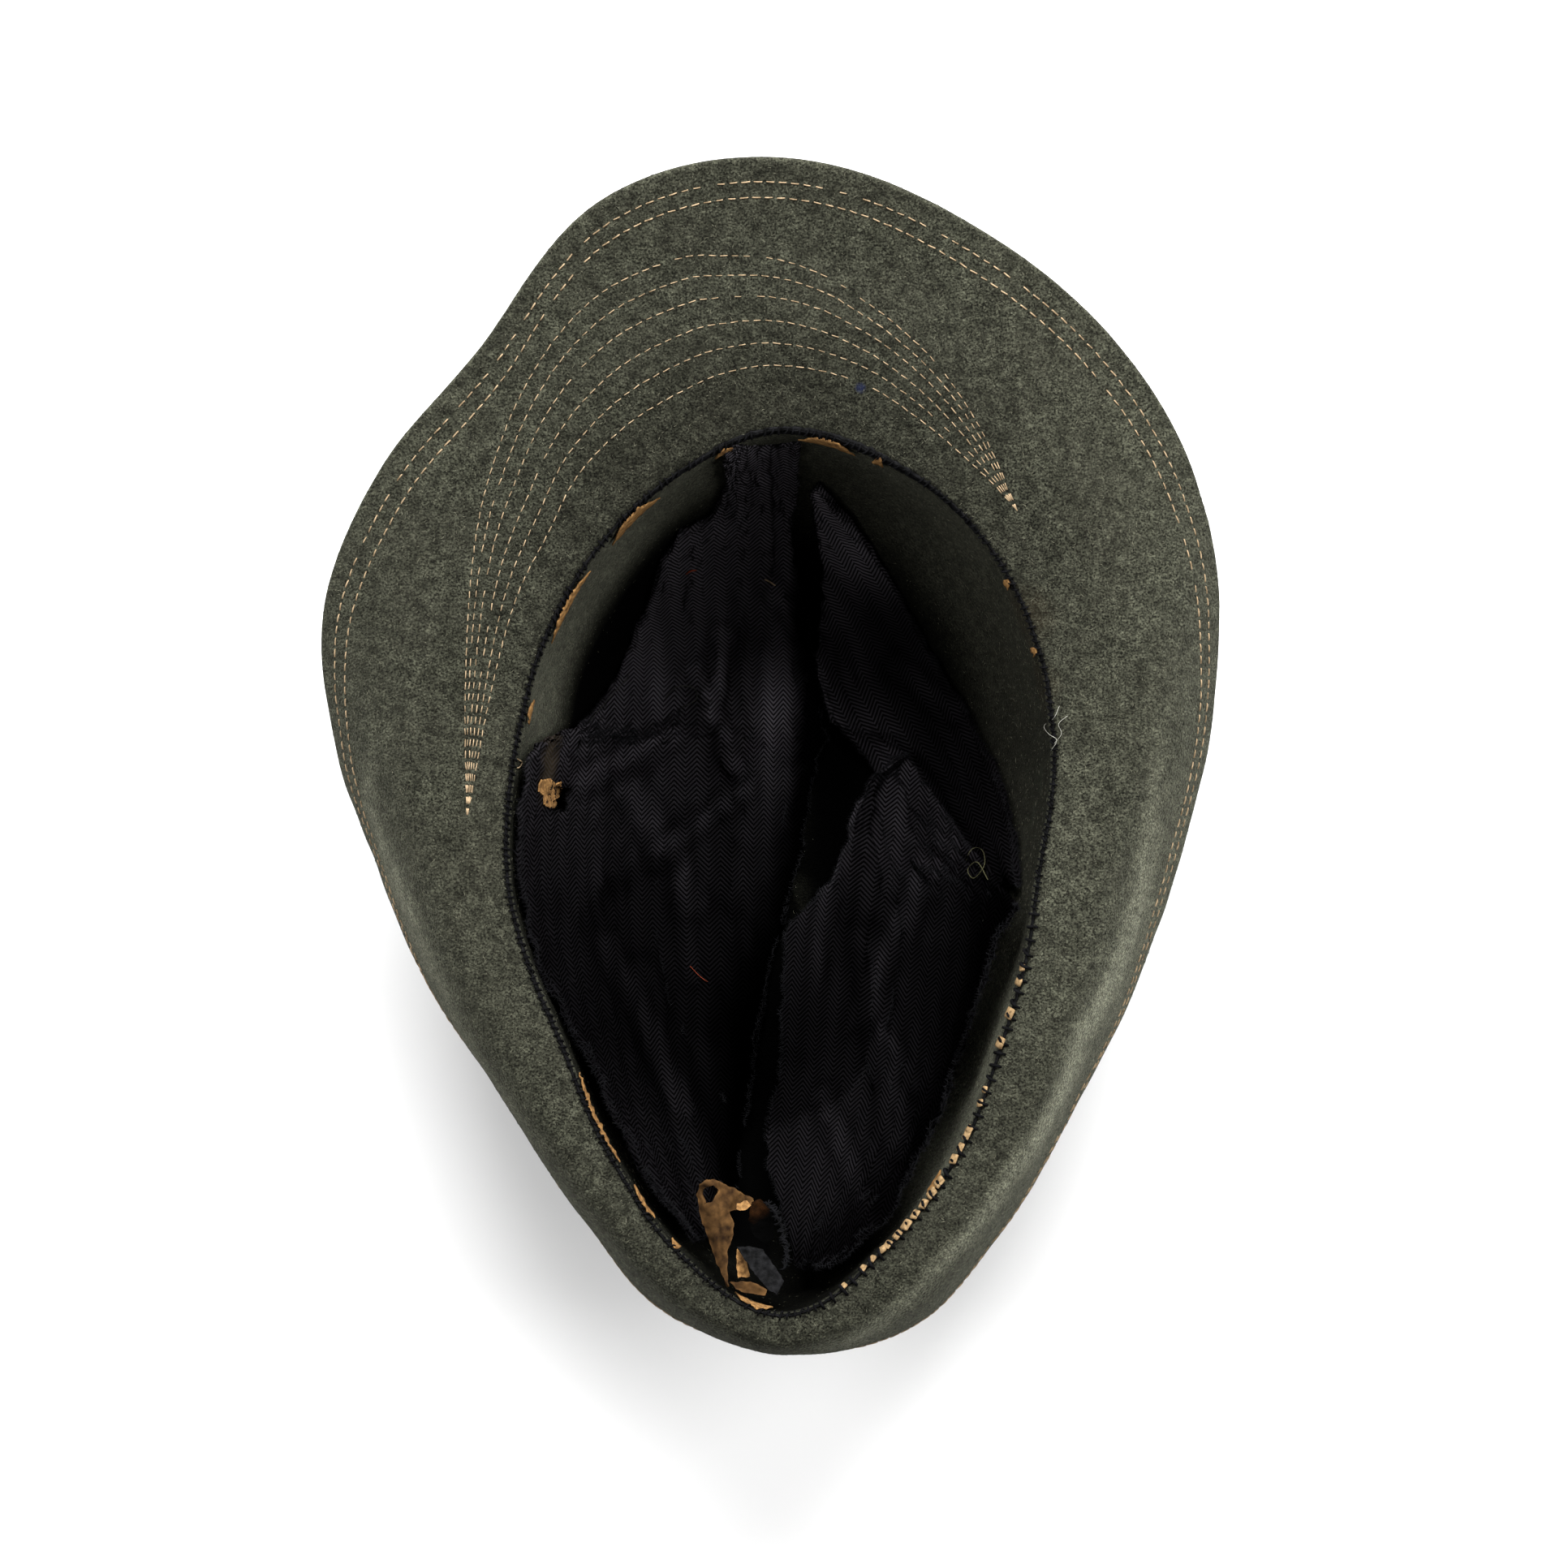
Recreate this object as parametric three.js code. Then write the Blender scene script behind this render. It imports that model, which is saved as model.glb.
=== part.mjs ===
// An old felt alpine hat, lying on its crown with the head opening up.
// Millimetres, +Z up, +Y towards the front of the hat.
// The origin is on the resting surface below the middle of the hat.
//
// The hat is one piece of blocked felt: a crown with a lengthwise crease, and a brim that is flat and wide in
// front and rolls over to hang down beside the crown at the sides and back. Inside are the remains of a
// leather sweatband and a torn cotton lining. Every sheet is worked out as its seen side and then given its
// thickness.
import * as THREE from "three";

// Driving dimensions
const FELT = 2.4; // thickness of the felt
const CLOTH = 1; // thickness of the lining
const LEATHER = 1; // thickness of the sweatband's remains
const GAP = 0.35; // air left between pieces that touch
const SLACK = 0.9; // the least air below the lining
const CROWN_DEPTH = 108; // resting surface to the plane of the head opening
const CROWN_AXIS = new THREE.Vector2(3.05, -25.16); // the crown stands back from the middle of the hat
const TIP_LONG = 88; // half the length and half the width of the crown's tip
const TIP_WIDE = 47;
const TIP_FLAT = 0.62; // share of the tip inside its rounded shoulder
const CREASE_DEPTH = 22; // the lengthwise crease in the tip
const CREASE_HALF = 13;
const SETTLE = 2; // how far the felt is flattened where it rests
const STRIP_FROM = 0.915; // the sweatband's strip lies between these stations of the turn, see stationPoint
const STRIP_TO = 0.975;
const BREAK = 4; // the turn from crown to brim takes this much on each side of the corner
const BRIM_GRIP = 0.78; // how closely the brim follows its roll point: 0 is straight, 1 is a sharp corner

// Sections of the hat, by angle round the crown's axis, from the hat's side towards its front at 90 degrees.
// mouth: radius of the head opening.
// roll and crest: how far outside the mouth, and how high above it, the brim turns over.
// reach and lift: the same for the brim's cut edge, where a negative lift hangs below the mouth.
const SECTIONS = [
  { at: 0, mouth: 63.8, roll: 21, crest: 5, reach: 35.5, lift: -30 },
  { at: 20, mouth: 71.9, roll: 28, crest: 5, reach: 42.5, lift: -22 },
  { at: 40, mouth: 83.7, roll: 30, crest: 5, reach: 53, lift: -8 },
  { at: 55, mouth: 93.5, roll: 32, crest: 5, reach: 57, lift: 3 },
  { at: 72, mouth: 103.2, roll: 34, crest: 4, reach: 59, lift: 12 },
  { at: 90, mouth: 108.8, roll: 34, crest: 4, reach: 63.5, lift: 17 },
  { at: 105, mouth: 101.7, roll: 34, crest: 4, reach: 67, lift: 14 },
  { at: 120, mouth: 92.1, roll: 32, crest: 4, reach: 55.5, lift: 6 },
  { at: 135, mouth: 83.3, roll: 30, crest: 4, reach: 56.5, lift: -2 },
  { at: 150, mouth: 75.2, roll: 30, crest: 5, reach: 56, lift: -12 },
  { at: 165, mouth: 70.8, roll: 28, crest: 6, reach: 45, lift: -24 },
  { at: 180, mouth: 68.7, roll: 24, crest: 7, reach: 34, lift: -36 },
  { at: 200, mouth: 67.9, roll: 22, crest: 7, reach: 26, lift: -42 },
  { at: 220, mouth: 71.2, roll: 19, crest: 7, reach: 21, lift: -46 },
  { at: 240, mouth: 84.2, roll: 15.5, crest: 6, reach: 18.5, lift: -48 },
  { at: 255, mouth: 98.8, roll: 14, crest: 5, reach: 18, lift: -50 },
  { at: 270, mouth: 110.2, roll: 11, crest: 4, reach: 13, lift: -50 },
  { at: 285, mouth: 97.5, roll: 19, crest: 5, reach: 24.5, lift: -48 },
  { at: 300, mouth: 84, roll: 19, crest: 6, reach: 25, lift: -46 },
  { at: 320, mouth: 70.1, roll: 20, crest: 7, reach: 26, lift: -43 },
  { at: 340, mouth: 64.2, roll: 20, crest: 7, reach: 29.5, lift: -38 },
];

// Torn panels of the lining, as ribs from the front of the hat to its back. Each rib runs over the felt
// between two places in plan, counted from the crown's axis.
// lift: how far the lining stands off the felt at the rib's start, middle and end.
const LINING_LEFT = [
  { from: [-15, 104], to: [4, 106], lift: [1.5, 1.5, 1.5] },
  { from: [-15, 101], to: [4, 103], lift: [1.5, 2, 1.5] },
  { from: [-15, 98], to: [4, 99], lift: [1.5, 2.5, 2] },
  { from: [-18, 92], to: [3, 94], lift: [1.5, 4, 3] },
  { from: [-27, 87], to: [2, 90], lift: [1.5, 5, 4] },
  { from: [-34, 78], to: [3, 80], lift: [2, 5, 5] },
  { from: [-37, 66], to: [5, 64], lift: [2, 5, 4] },
  { from: [-43, 52], to: [7, 51], lift: [2, 5, 3] },
  { from: [-49, 42], to: [9, 41], lift: [2, 5, 2] },
  { from: [-56, 36], to: [8, 36], lift: [2.9, 5, 2] },
  { from: [-64, 32], to: [10, 33], lift: [2.9, 5, 2] },
  { from: [-66, 27], to: [7, 29], lift: [2.9, 5, 2] },
  { from: [-68, 21], to: [6, 21], lift: [2.9, 5, 2] },
  { from: [-68, 14], to: [5, 14], lift: [2.9, 5, 2] },
  { from: [-68, 7], to: [4, 7], lift: [2.5, 5, 2] },
  { from: [-69, -4], to: [2, -6], lift: [1.6, 6, 2] },
  { from: [-66, -16], to: [-1, -18], lift: [1.6, 6, 2] },
  { from: [-61, -32], to: [-4, -34], lift: [1.8, 7, 3] },
  { from: [-57, -42], to: [-5, -44], lift: [4, 7, 3] },
  { from: [-50, -55], to: [-7, -58], lift: [5, 8, 4] },
  { from: [-44, -68], to: [-12, -74], lift: [5, 8, 5] },
  { from: [-36, -82], to: [-15, -89], lift: [5, 7, 6] },
  { from: [-26, -94], to: [-17, -97], lift: [4, 5, 5] },
];
const LINING_STRIP = [
  { from: [7, 98], to: [9, 99], lift: [1.5, 1.5, 1.5] },
  { from: [9, 90], to: [21, 88], lift: [2, 2, 1.5] },
  { from: [11, 80], to: [27, 78], lift: [3, 3, 1.5] },
  { from: [11, 69], to: [33, 68], lift: [4, 4, 1.5] },
  { from: [6, 55], to: [39, 57], lift: [5, 5, 1.5] },
  { from: [6, 46], to: [44, 49], lift: [6, 5, 1.5] },
  { from: [8, 38], to: [50, 39], lift: [6, 4, 1.5] },
  { from: [18, 30], to: [54, 30], lift: [5, 3, 1.5] },
  { from: [27, 20], to: [58, 20], lift: [3, 2, 1.5] },
  { from: [34, 8], to: [60, 8], lift: [2, 1.6, 1.5] },
  { from: [43, -5], to: [60, -4], lift: [1.5, 1.5, 1.5] },
];
const LINING_FLAP = [
  { from: [31, 29], to: [39, 30], lift: [11, 11, 10] },
  { from: [12, 21], to: [45, 21], lift: [13, 11, 9] },
  { from: [7, 11], to: [50, 11], lift: [14, 10, 7] },
  { from: [6, 3], to: [56, 1], lift: [14, 11, 6] },
  { from: [2, -10], to: [61, -9], lift: [14, 13, 4] },
  { from: [0, -17], to: [61, -16], lift: [14, 14, 4] },
  { from: [0, -28], to: [58, -26], lift: [13, 15, 4] },
  { from: [0, -38], to: [54, -39], lift: [13, 16, 4] },
  { from: [0, -49], to: [49, -52], lift: [12, 16, 4] },
  { from: [-5, -74], to: [44, -66], lift: [12, 15, 4] },
  { from: [-6, -86], to: [41, -73], lift: [12, 14, 4] },
  { from: [-4, -95], to: [36, -82], lift: [11, 12, 4] },
  { from: [3, -102], to: [28, -92], lift: [9, 10, 4] },
  { from: [6, -106], to: [17, -102], lift: [7, 7, 4] },
];
const LINING_HOLE = { x: -55.8, y: 18.6, wide: 5, long: 8 }; // torn through the left panel
const PATCH = [
  { from: [-60, 24], to: [-53, 24], lift: [1.35, 1.35, 1.35] },
  { from: [-61, 18.5], to: [-52, 18.5], lift: [1.35, 1.35, 1.35] },
  { from: [-60, 13], to: [-53, 13], lift: [1.35, 1.35, 1.35] },
];

// Torn pieces of the sweatband at the back. Each section runs across the hat about its middle, which is also
// counted from the crown's axis. It bows up by bow and drops by drop towards its right edge.
const CURL = [
  { x: -19.4, y: -79.5, z: 96.5, half: 2, bow: 0.5, drop: 0 },
  { x: -19, y: -78.1, z: 99, half: 3, bow: 0.8, drop: 0.5 },
  { x: -15.6, y: -80.7, z: 101.8, half: 6.5, bow: 1.5, drop: 1.5 },
  { x: -14.2, y: -84.3, z: 102.4, half: 7, bow: 1.5, drop: 2 },
  { x: -15.6, y: -87.6, z: 102, half: 4.2, bow: 1.2, drop: 1 },
  { x: -15.2, y: -91.6, z: 102, half: 3.8, bow: 1, drop: 0.6 },
  { x: -14.5, y: -97.6, z: 103.4, half: 2.6, bow: 0.6, drop: 0.3 },
  { x: -14, y: -101.1, z: 103.8, half: 1.6, bow: 0.3, drop: 0 },
];
const SHRED = [
  { x: -6, y: -84.3, z: 100.2, half: 0.9, bow: 0.2, drop: 0 },
  { x: -4.8, y: -86.5, z: 100, half: 1.8, bow: 0.6, drop: 0.4 },
  { x: -4.2, y: -89.5, z: 99.2, half: 1.8, bow: 0.6, drop: 0.6 },
  { x: -3.6, y: -91.9, z: 98, half: 0.8, bow: 0.2, drop: 0.2 },
];
const FLAP = [
  { x: -8, y: -96.3, z: 103.2, half: 2, bow: 0.4, drop: 0.2 },
  { x: -5.8, y: -99.1, z: 104.2, half: 2.8, bow: 0.9, drop: 0.4 },
  { x: -2.8, y: -102.5, z: 105, half: 3, bow: 0.9, drop: 0.5 },
  { x: -0.2, y: -105.7, z: 105.6, half: 2, bow: 0.4, drop: 0.4 },
];

// Fineness of the faceted solids
const ROUND = 72; // faces round the hat
const STEPS = { tip: 5, wall: 9, break: 4, brim: 8 };

// A smooth curve through one column of a table, over the whole table or round a closed ring of sections.
function smoothColumn(rows, key, column, ring = 0) {
  const n = rows.length;
  const at = (i) => rows[((i % n) + n) % n][key] + Math.floor(i / n) * ring;
  const value = (i) => rows[((i % n) + n) % n][column];
  const slope = (i) => {
    const before = ring || i > 0 ? i - 1 : i;
    const after = ring || i < n - 1 ? i + 1 : i;
    return (value(after) - value(before)) / (at(after) - at(before));
  };
  return (where) => {
    const x = ring ? ((where % ring) + ring) % ring : where;
    let i = 0;
    while (i < n - (ring ? 1 : 2) && at(i + 1) <= x) i++;
    const span = at(i + 1) - at(i);
    const t = (x - at(i)) / span;
    const [a, b] = [value(i), value(i + 1)];
    const [da, db] = [slope(i) * span, slope(i + 1) * span];
    return a + t * (da + t * (3 * (b - a) - 2 * da - db + t * (2 * (a - b) + da + db)));
  };
}

const around = {};
for (const column of ["mouth", "roll", "crest", "reach", "lift"]) {
  around[column] = smoothColumn(SECTIONS, "at", column, 360);
}

const bezier = (points, t) =>
  new THREE.CubicBezierCurve(...points.map(([x, y]) => new THREE.Vector2(x, y))).getPoint(t);

const smoothStep = (low, high, x) => THREE.MathUtils.smoothstep(x, low, high);

// Radius of the crown's tip, an ellipse that is squarer than round.
function tipRadius(degrees) {
  const a = THREE.MathUtils.degToRad(degrees);
  const power = 2.3;
  const sum = Math.abs(Math.cos(a) / TIP_WIDE) ** power + Math.abs(Math.sin(a) / TIP_LONG) ** power;
  return sum ** (-1 / power);
}

// How far the crease lifts the tip's felt into the crown.
function crease(x, y, height) {
  const across = Math.exp(-((x / CREASE_HALF) ** 2));
  const along = 1 - smoothStep(0.35, 0.95, Math.abs(y) / TIP_LONG);
  const fade = 1 - smoothStep(0, 0.5, height / CROWN_DEPTH);
  return CREASE_DEPTH * across * along * fade;
}

// A point of the felt's seen side: the inside of the crown and the underside of the brim.
function feltPoint(degrees, part, t) {
  const mouth = around.mouth(degrees);
  const tip = tipRadius(degrees);
  const ring = tip * TIP_FLAT;
  const low = FELT - SETTLE;
  let radius;
  let height;
  if (part === "tip") {
    radius = ring * t;
    height = low;
  } else if (part === "wall") {
    const top = CROWN_DEPTH - BREAK;
    const p = bezier([[ring, low], [tip * 1.06, low], [mouth - 4, top * 0.55], [mouth - 1.5, top]], t);
    [radius, height] = [p.x, p.y];
  } else if (part === "break") {
    const start = [mouth - 1.5, CROWN_DEPTH - BREAK];
    const corner = [mouth - 0.4, CROWN_DEPTH - 0.6];
    const p = bezier([start, corner, corner, [mouth + BREAK, CROWN_DEPTH + 0.5]], t);
    [radius, height] = [p.x, p.y];
  } else {
    const start = [BREAK, 0.5];
    const roll = [around.roll(degrees), around.crest(degrees)];
    const edge = [around.reach(degrees), around.lift(degrees)];
    const near = (from) => from.map((v, i) => v + BRIM_GRIP * (roll[i] - v));
    const p = bezier([start, near(start), near(edge), edge], t);
    [radius, height] = [mouth + p.x, CROWN_DEPTH + p.y];
  }
  const a = THREE.MathUtils.degToRad(degrees);
  const x = radius * Math.cos(a);
  const y = radius * Math.sin(a);
  if (part === "tip" || part === "wall") height = Math.max(FELT, height + crease(x, y, height));
  return new THREE.Vector3(CROWN_AXIS.x + x, CROWN_AXIS.y + y, height);
}

// The felt's seen side by station.
// 0 is the middle of the tip, 0.9 the top of the wall and 1 the start of the brim.
function stationPoint(degrees, station) {
  const legs = [["tip", 0.25], ["wall", 0.65], ["break", 0.1]];
  let rest = station;
  for (const [part, share] of legs) {
    if (rest <= share || part === "break") return feltPoint(degrees, part, Math.min(rest / share, 1));
    rest -= share;
  }
}

// The point at a station of a section, moved off the felt by a lift.
function offSection(degrees, station, lift) {
  const inner = stationPoint(degrees, Math.max(station - 0.004, 0));
  const out = stationPoint(degrees, Math.min(station + 0.004, 1)).sub(inner);
  const round = stationPoint(degrees + 0.5, station).sub(stationPoint(degrees - 0.5, station));
  return stationPoint(degrees, station).addScaledVector(out.cross(round).normalize(), lift);
}

// The same for a place in plan, no higher than just below the sweatband.
function offFelt(x, y, lift) {
  const degrees = THREE.MathUtils.radToDeg(Math.atan2(y, x));
  let [low, high] = [0, STRIP_FROM - 0.025];
  for (let i = 0; i < 30; i++) {
    const middle = (low + high) / 2;
    const p = stationPoint(degrees, middle);
    if (Math.hypot(p.x - CROWN_AXIS.x, p.y - CROWN_AXIS.y) < Math.hypot(x, y)) low = middle;
    else high = middle;
  }
  return offSection(degrees, low, lift);
}

// A closed mesh from a list of points and a list of triangles.
function solidFrom(points, triangles) {
  const geometry = new THREE.BufferGeometry().setFromPoints(points);
  geometry.setIndex(triangles.flat());
  return geometry.toNonIndexed();
}

// Normals of a grid of points: rows[i][j], where a closed grid's columns join up again.
function gridNormals(rows, closed) {
  const last = rows.length - 1;
  return rows.map((row, i) =>
    row.map((_, j) => {
      const n = row.length;
      const along = rows[Math.min(i + 1, last)][j].clone().sub(rows[Math.max(i - 1, 0)][j]);
      const next = closed ? row[(j + 1) % n] : row[Math.min(j + 1, n - 1)];
      const before = closed ? row[(j + n - 1) % n] : row[Math.max(j - 1, 0)];
      return along.cross(next.clone().sub(before)).normalize();
    }),
  );
}

// A sheet of even thickness behind a grid of seen points. A test on its cells leaves holes open.
function sheet(rows, thickness, closed = false, isHole = () => false) {
  const normals = gridNormals(rows, closed);
  const behind = rows.map((row, i) =>
    row.map((p, j) => p.clone().addScaledVector(normals[i][j], -thickness)),
  );
  const n = rows[0].length;
  const back = rows.length * n;
  const corner = (i, j) => i * n + (j % n);
  const edges = new Map();
  const triangles = [];
  for (let i = 0; i < rows.length - 1; i++) {
    for (let j = 0; j < (closed ? n : n - 1); j++) {
      const cell = [corner(i, j), corner(i + 1, j), corner(i + 1, j + 1), corner(i, j + 1)];
      if (isHole(rows[i][j].clone().add(rows[i + 1][(j + 1) % n]).multiplyScalar(0.5))) continue;
      const [a, b, c, d] = cell;
      triangles.push([a, b, c], [a, c, d], [back + a, back + c, back + b], [back + a, back + d, back + c]);
      cell.forEach((from, k) => {
        const to = cell[(k + 1) % 4];
        if (!edges.delete(`${to} ${from}`)) edges.set(`${from} ${to}`, [from, to]);
      });
    }
  }
  for (const [from, to] of edges.values()) {
    triangles.push([from, back + from, back + to], [from, back + to, to]);
  }
  return solidFrom([...rows.flat(), ...behind.flat()], triangles);
}

// The felt: rings from the middle of the tip out to the cut edge, with its thickness behind the seen side.
function makeFelt() {
  const stations = [];
  for (const [part, steps] of Object.entries(STEPS)) {
    for (let i = 1; i <= steps; i++) stations.push([part, i / steps]);
  }
  const seen = stations.map(([part, t]) =>
    Array.from({ length: ROUND }, (_, j) => feltPoint((360 * j) / ROUND, part, t)),
  );
  const normals = gridNormals(seen, true);
  const last = seen.length - 1;
  const behind = seen.map((row, i) =>
    row.map((p, j) => (p.z <= FELT ? p.clone().setZ(0) : p.clone().addScaledVector(normals[i][j], -FELT))),
  );
  const rim = seen[last].map((p, j) => {
    const outward = p.clone().sub(seen[last - 1][j]).normalize();
    return p.clone().addScaledVector(normals[last][j], -FELT / 2).addScaledVector(outward, FELT * 0.4);
  });
  const middle = feltPoint(0, "tip", 0);
  const rings = [...seen, rim, ...behind.reverse()];
  const points = [...rings.flat(), middle, middle.clone().setZ(middle.z - FELT)];
  const triangles = [];
  const at = (i, j) => i * ROUND + (j % ROUND);
  for (let j = 0; j < ROUND; j++) {
    triangles.push([points.length - 2, at(0, j), at(0, j + 1)]);
    for (let i = 0; i < rings.length - 1; i++) {
      triangles.push([at(i, j), at(i + 1, j), at(i + 1, j + 1)], [at(i, j), at(i + 1, j + 1), at(i, j + 1)]);
    }
    triangles.push([at(rings.length - 1, j), points.length - 1, at(rings.length - 1, j + 1)]);
  }
  return solidFrom(points, triangles);
}

// A torn panel of lining laid off the felt. Its ribs run across the hat and are listed from front to back.
function makePanel(ribs, columns, rowsBetween, hole) {
  const rows = ribs.map((rib, i) => ({
    step: i, fx: rib.from[0], fy: rib.from[1], tx: rib.to[0], ty: rib.to[1],
    a: rib.lift[0], b: rib.lift[1], c: rib.lift[2],
  }));
  const curve = {};
  for (const column of ["fx", "fy", "tx", "ty", "a", "b", "c"]) {
    curve[column] = smoothColumn(rows, "step", column);
  }
  const grid = [];
  for (let i = 0; i <= (ribs.length - 1) * rowsBetween; i++) {
    const step = i / rowsBetween;
    const line = [];
    for (let k = 0; k <= 48; k++) {
      const t = k / 48;
      const ends = curve.a(step) * (1 - t) * (1 - 2 * t) + curve.c(step) * t * (2 * t - 1);
      const lift = ends + curve.b(step) * 4 * t * (1 - t);
      const x = THREE.MathUtils.lerp(curve.fx(step), curve.tx(step), t);
      const y = THREE.MathUtils.lerp(curve.fy(step), curve.ty(step), t);
      line.push(offFelt(x, y, Math.max(lift, CLOTH + SLACK)));
    }
    grid.push(new THREE.CatmullRomCurve3(line).getSpacedPoints(columns));
  }
  return sheet(grid, CLOTH, false, hole);
}

// The strip of leather sewn round the head opening.
function makeStrip() {
  const rows = [STRIP_FROM, (STRIP_FROM + STRIP_TO) / 2, STRIP_TO].map((station) =>
    Array.from({ length: ROUND }, (_, j) => offSection((360 * j) / ROUND, station, GAP + LEATHER)),
  );
  return sheet(rows, LEATHER, true);
}

// A torn piece of leather from its sections.
function makeScrap(sections, columns) {
  const rows = sections.map(({ x, y, z, half, bow, drop }) =>
    Array.from({ length: columns + 1 }, (_, k) => {
      const u = (2 * k) / columns - 1;
      const height = z + bow * (1 - u * u) - (drop * (u + 1)) / 2;
      return new THREE.Vector3(CROWN_AXIS.x + x + half * u, CROWN_AXIS.y + y, height);
    }),
  );
  return sheet(rows, LEATHER);
}

function inHole({ x, y }) {
  const across = (x - CROWN_AXIS.x - LINING_HOLE.x) / (LINING_HOLE.wide / 2);
  const along = (y - CROWN_AXIS.y - LINING_HOLE.y) / (LINING_HOLE.long / 2);
  return across ** 2 + along ** 2 < 1;
}

function piece(name, geometry, color, roughness) {
  geometry.computeVertexNormals();
  const mesh = new THREE.Mesh(geometry, new THREE.MeshStandardMaterial({ color, roughness, metalness: 0 }));
  mesh.name = name;
  return mesh;
}

const hat = new THREE.Group();
hat.add(piece("felt_body", makeFelt(), "#47463c", 0.95));
hat.add(piece("lining_left", makePanel(LINING_LEFT, 20, 1, inHole), "#1c1c1d", 0.85));
hat.add(piece("lining_strip", makePanel(LINING_STRIP, 7, 1), "#1a1a1b", 0.85));
hat.add(piece("lining_flap", makePanel(LINING_FLAP, 12, 1), "#18181a", 0.85));
hat.add(piece("sweatband_strip", makeStrip(), "#2b241d", 0.7));
hat.add(piece("sweatband_patch", makePanel(PATCH, 3, 1), "#66503a", 0.8));
hat.add(piece("sweatband_curl", makeScrap(CURL, 6), "#5b442c", 0.85));
hat.add(piece("sweatband_shred", makeScrap(SHRED, 4), "#4a3726", 0.85));
hat.add(piece("sweatband_flap", makeScrap(FLAP, 4), "#17161a", 0.6));

export default hat;
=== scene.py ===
# Looks of an old felt alpine hat that lies on its crown, seen from straight above.
# Row frame: millimetres in tables, metres in meshes; +Y is the hat's front, +X the photograph's right.
import math

import bmesh
import bpy
import numpy as np
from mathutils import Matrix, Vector, noise
from mathutils.bvhtree import BVHTree


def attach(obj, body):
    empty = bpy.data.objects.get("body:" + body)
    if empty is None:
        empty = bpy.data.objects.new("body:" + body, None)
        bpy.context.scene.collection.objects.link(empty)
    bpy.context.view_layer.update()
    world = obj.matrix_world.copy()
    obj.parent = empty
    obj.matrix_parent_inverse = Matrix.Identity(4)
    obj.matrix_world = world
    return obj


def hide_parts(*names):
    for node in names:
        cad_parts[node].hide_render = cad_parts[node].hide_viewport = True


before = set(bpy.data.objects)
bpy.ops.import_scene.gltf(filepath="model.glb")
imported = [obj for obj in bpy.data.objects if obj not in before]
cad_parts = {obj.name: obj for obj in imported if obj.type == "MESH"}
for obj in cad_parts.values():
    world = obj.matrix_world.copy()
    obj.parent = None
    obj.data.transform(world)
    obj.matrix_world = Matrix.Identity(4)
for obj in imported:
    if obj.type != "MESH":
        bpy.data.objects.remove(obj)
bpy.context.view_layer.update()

MM = 0.001
FELT = 2.4
CROWN_DEPTH = 108
CROWN_AXIS = (3.05, -25.16)
TIP_LONG = 88
TIP_WIDE = 47
TIP_FLAT = 0.62
CREASE_DEPTH = 22
CREASE_HALF = 13
SETTLE = 2
BREAK = 4
BRIM_GRIP = 0.78
# Edges sharper than this stay sharp.
SHARP = math.radians(50)
# One column of the herringbone, and from rib to rib along it.
WEAVE_COLUMN = 3.0
RIB_PITCH = 1.25
# The camera in metres. It stands this far above the head opening, where the picture is this wide, in mm.
CAMERA_PLACE = (0.00325, -0.00396, 1.508)
CAMERA_AWAY = 1400
FRAME_WIDE = 386.4
FLOOR_HALF = 1500

# The hat's sections, as in the part's source: angle round the crown, radius of the head opening, the brim's
# turn (out, up) and its cut edge (out, up).
SECTIONS = [
    (0, 63.8, 21, 5, 35.5, -30), (20, 71.9, 28, 5, 42.5, -22), (40, 83.7, 30, 5, 53, -8),
    (55, 93.5, 32, 5, 57, 3), (72, 103.2, 34, 4, 59, 12), (90, 108.8, 34, 4, 63.5, 17),
    (105, 101.7, 34, 4, 67, 14), (120, 92.1, 32, 4, 55.5, 6), (135, 83.3, 30, 4, 56.5, -2),
    (150, 75.2, 30, 5, 56, -12), (165, 70.8, 28, 6, 45, -24), (180, 68.7, 24, 7, 34, -36),
    (200, 67.9, 22, 7, 26, -42), (220, 71.2, 19, 7, 21, -46), (240, 84.2, 15.5, 6, 18.5, -48),
    (255, 98.8, 14, 5, 18, -50), (270, 110.2, 11, 4, 13, -50), (285, 97.5, 19, 5, 24.5, -48),
    (300, 84, 19, 6, 25, -46), (320, 70.1, 20, 7, 26, -43), (340, 64.2, 20, 7, 29.5, -38),
]


def ring_curve(column):
    """A smooth curve through one column of the sections, all the way round."""
    n = len(SECTIONS)
    at = lambda i: SECTIONS[i % n][0] + 360 * (i // n)
    value = lambda i: SECTIONS[i % n][column]
    slope = lambda i: (value(i + 1) - value(i - 1)) / (at(i + 1) - at(i - 1))

    def curve(degrees):
        x = degrees % 360
        i = max(k for k in range(n) if SECTIONS[k][0] <= x)
        span = at(i + 1) - at(i)
        t = (x - at(i)) / span
        a, b, da, db = value(i), value(i + 1), slope(i) * span, slope(i + 1) * span
        return a + t * (da + t * (3 * (b - a) - 2 * da - db + t * (2 * (a - b) + da + db)))

    return curve


mouth_at, roll_at, crest_at, reach_at, lift_at = (ring_curve(column) for column in range(1, 6))


def bezier(p, t):
    s = 1 - t
    weights = (s * s * s, 3 * s * s * t, 3 * s * t * t, t * t * t)
    return [sum(w * q[k] for w, q in zip(weights, p)) for k in (0, 1)]


def smooth_step(low, high, x):
    t = min(max((x - low) / (high - low), 0.0), 1.0)
    return t * t * (3 - 2 * t)


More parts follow.
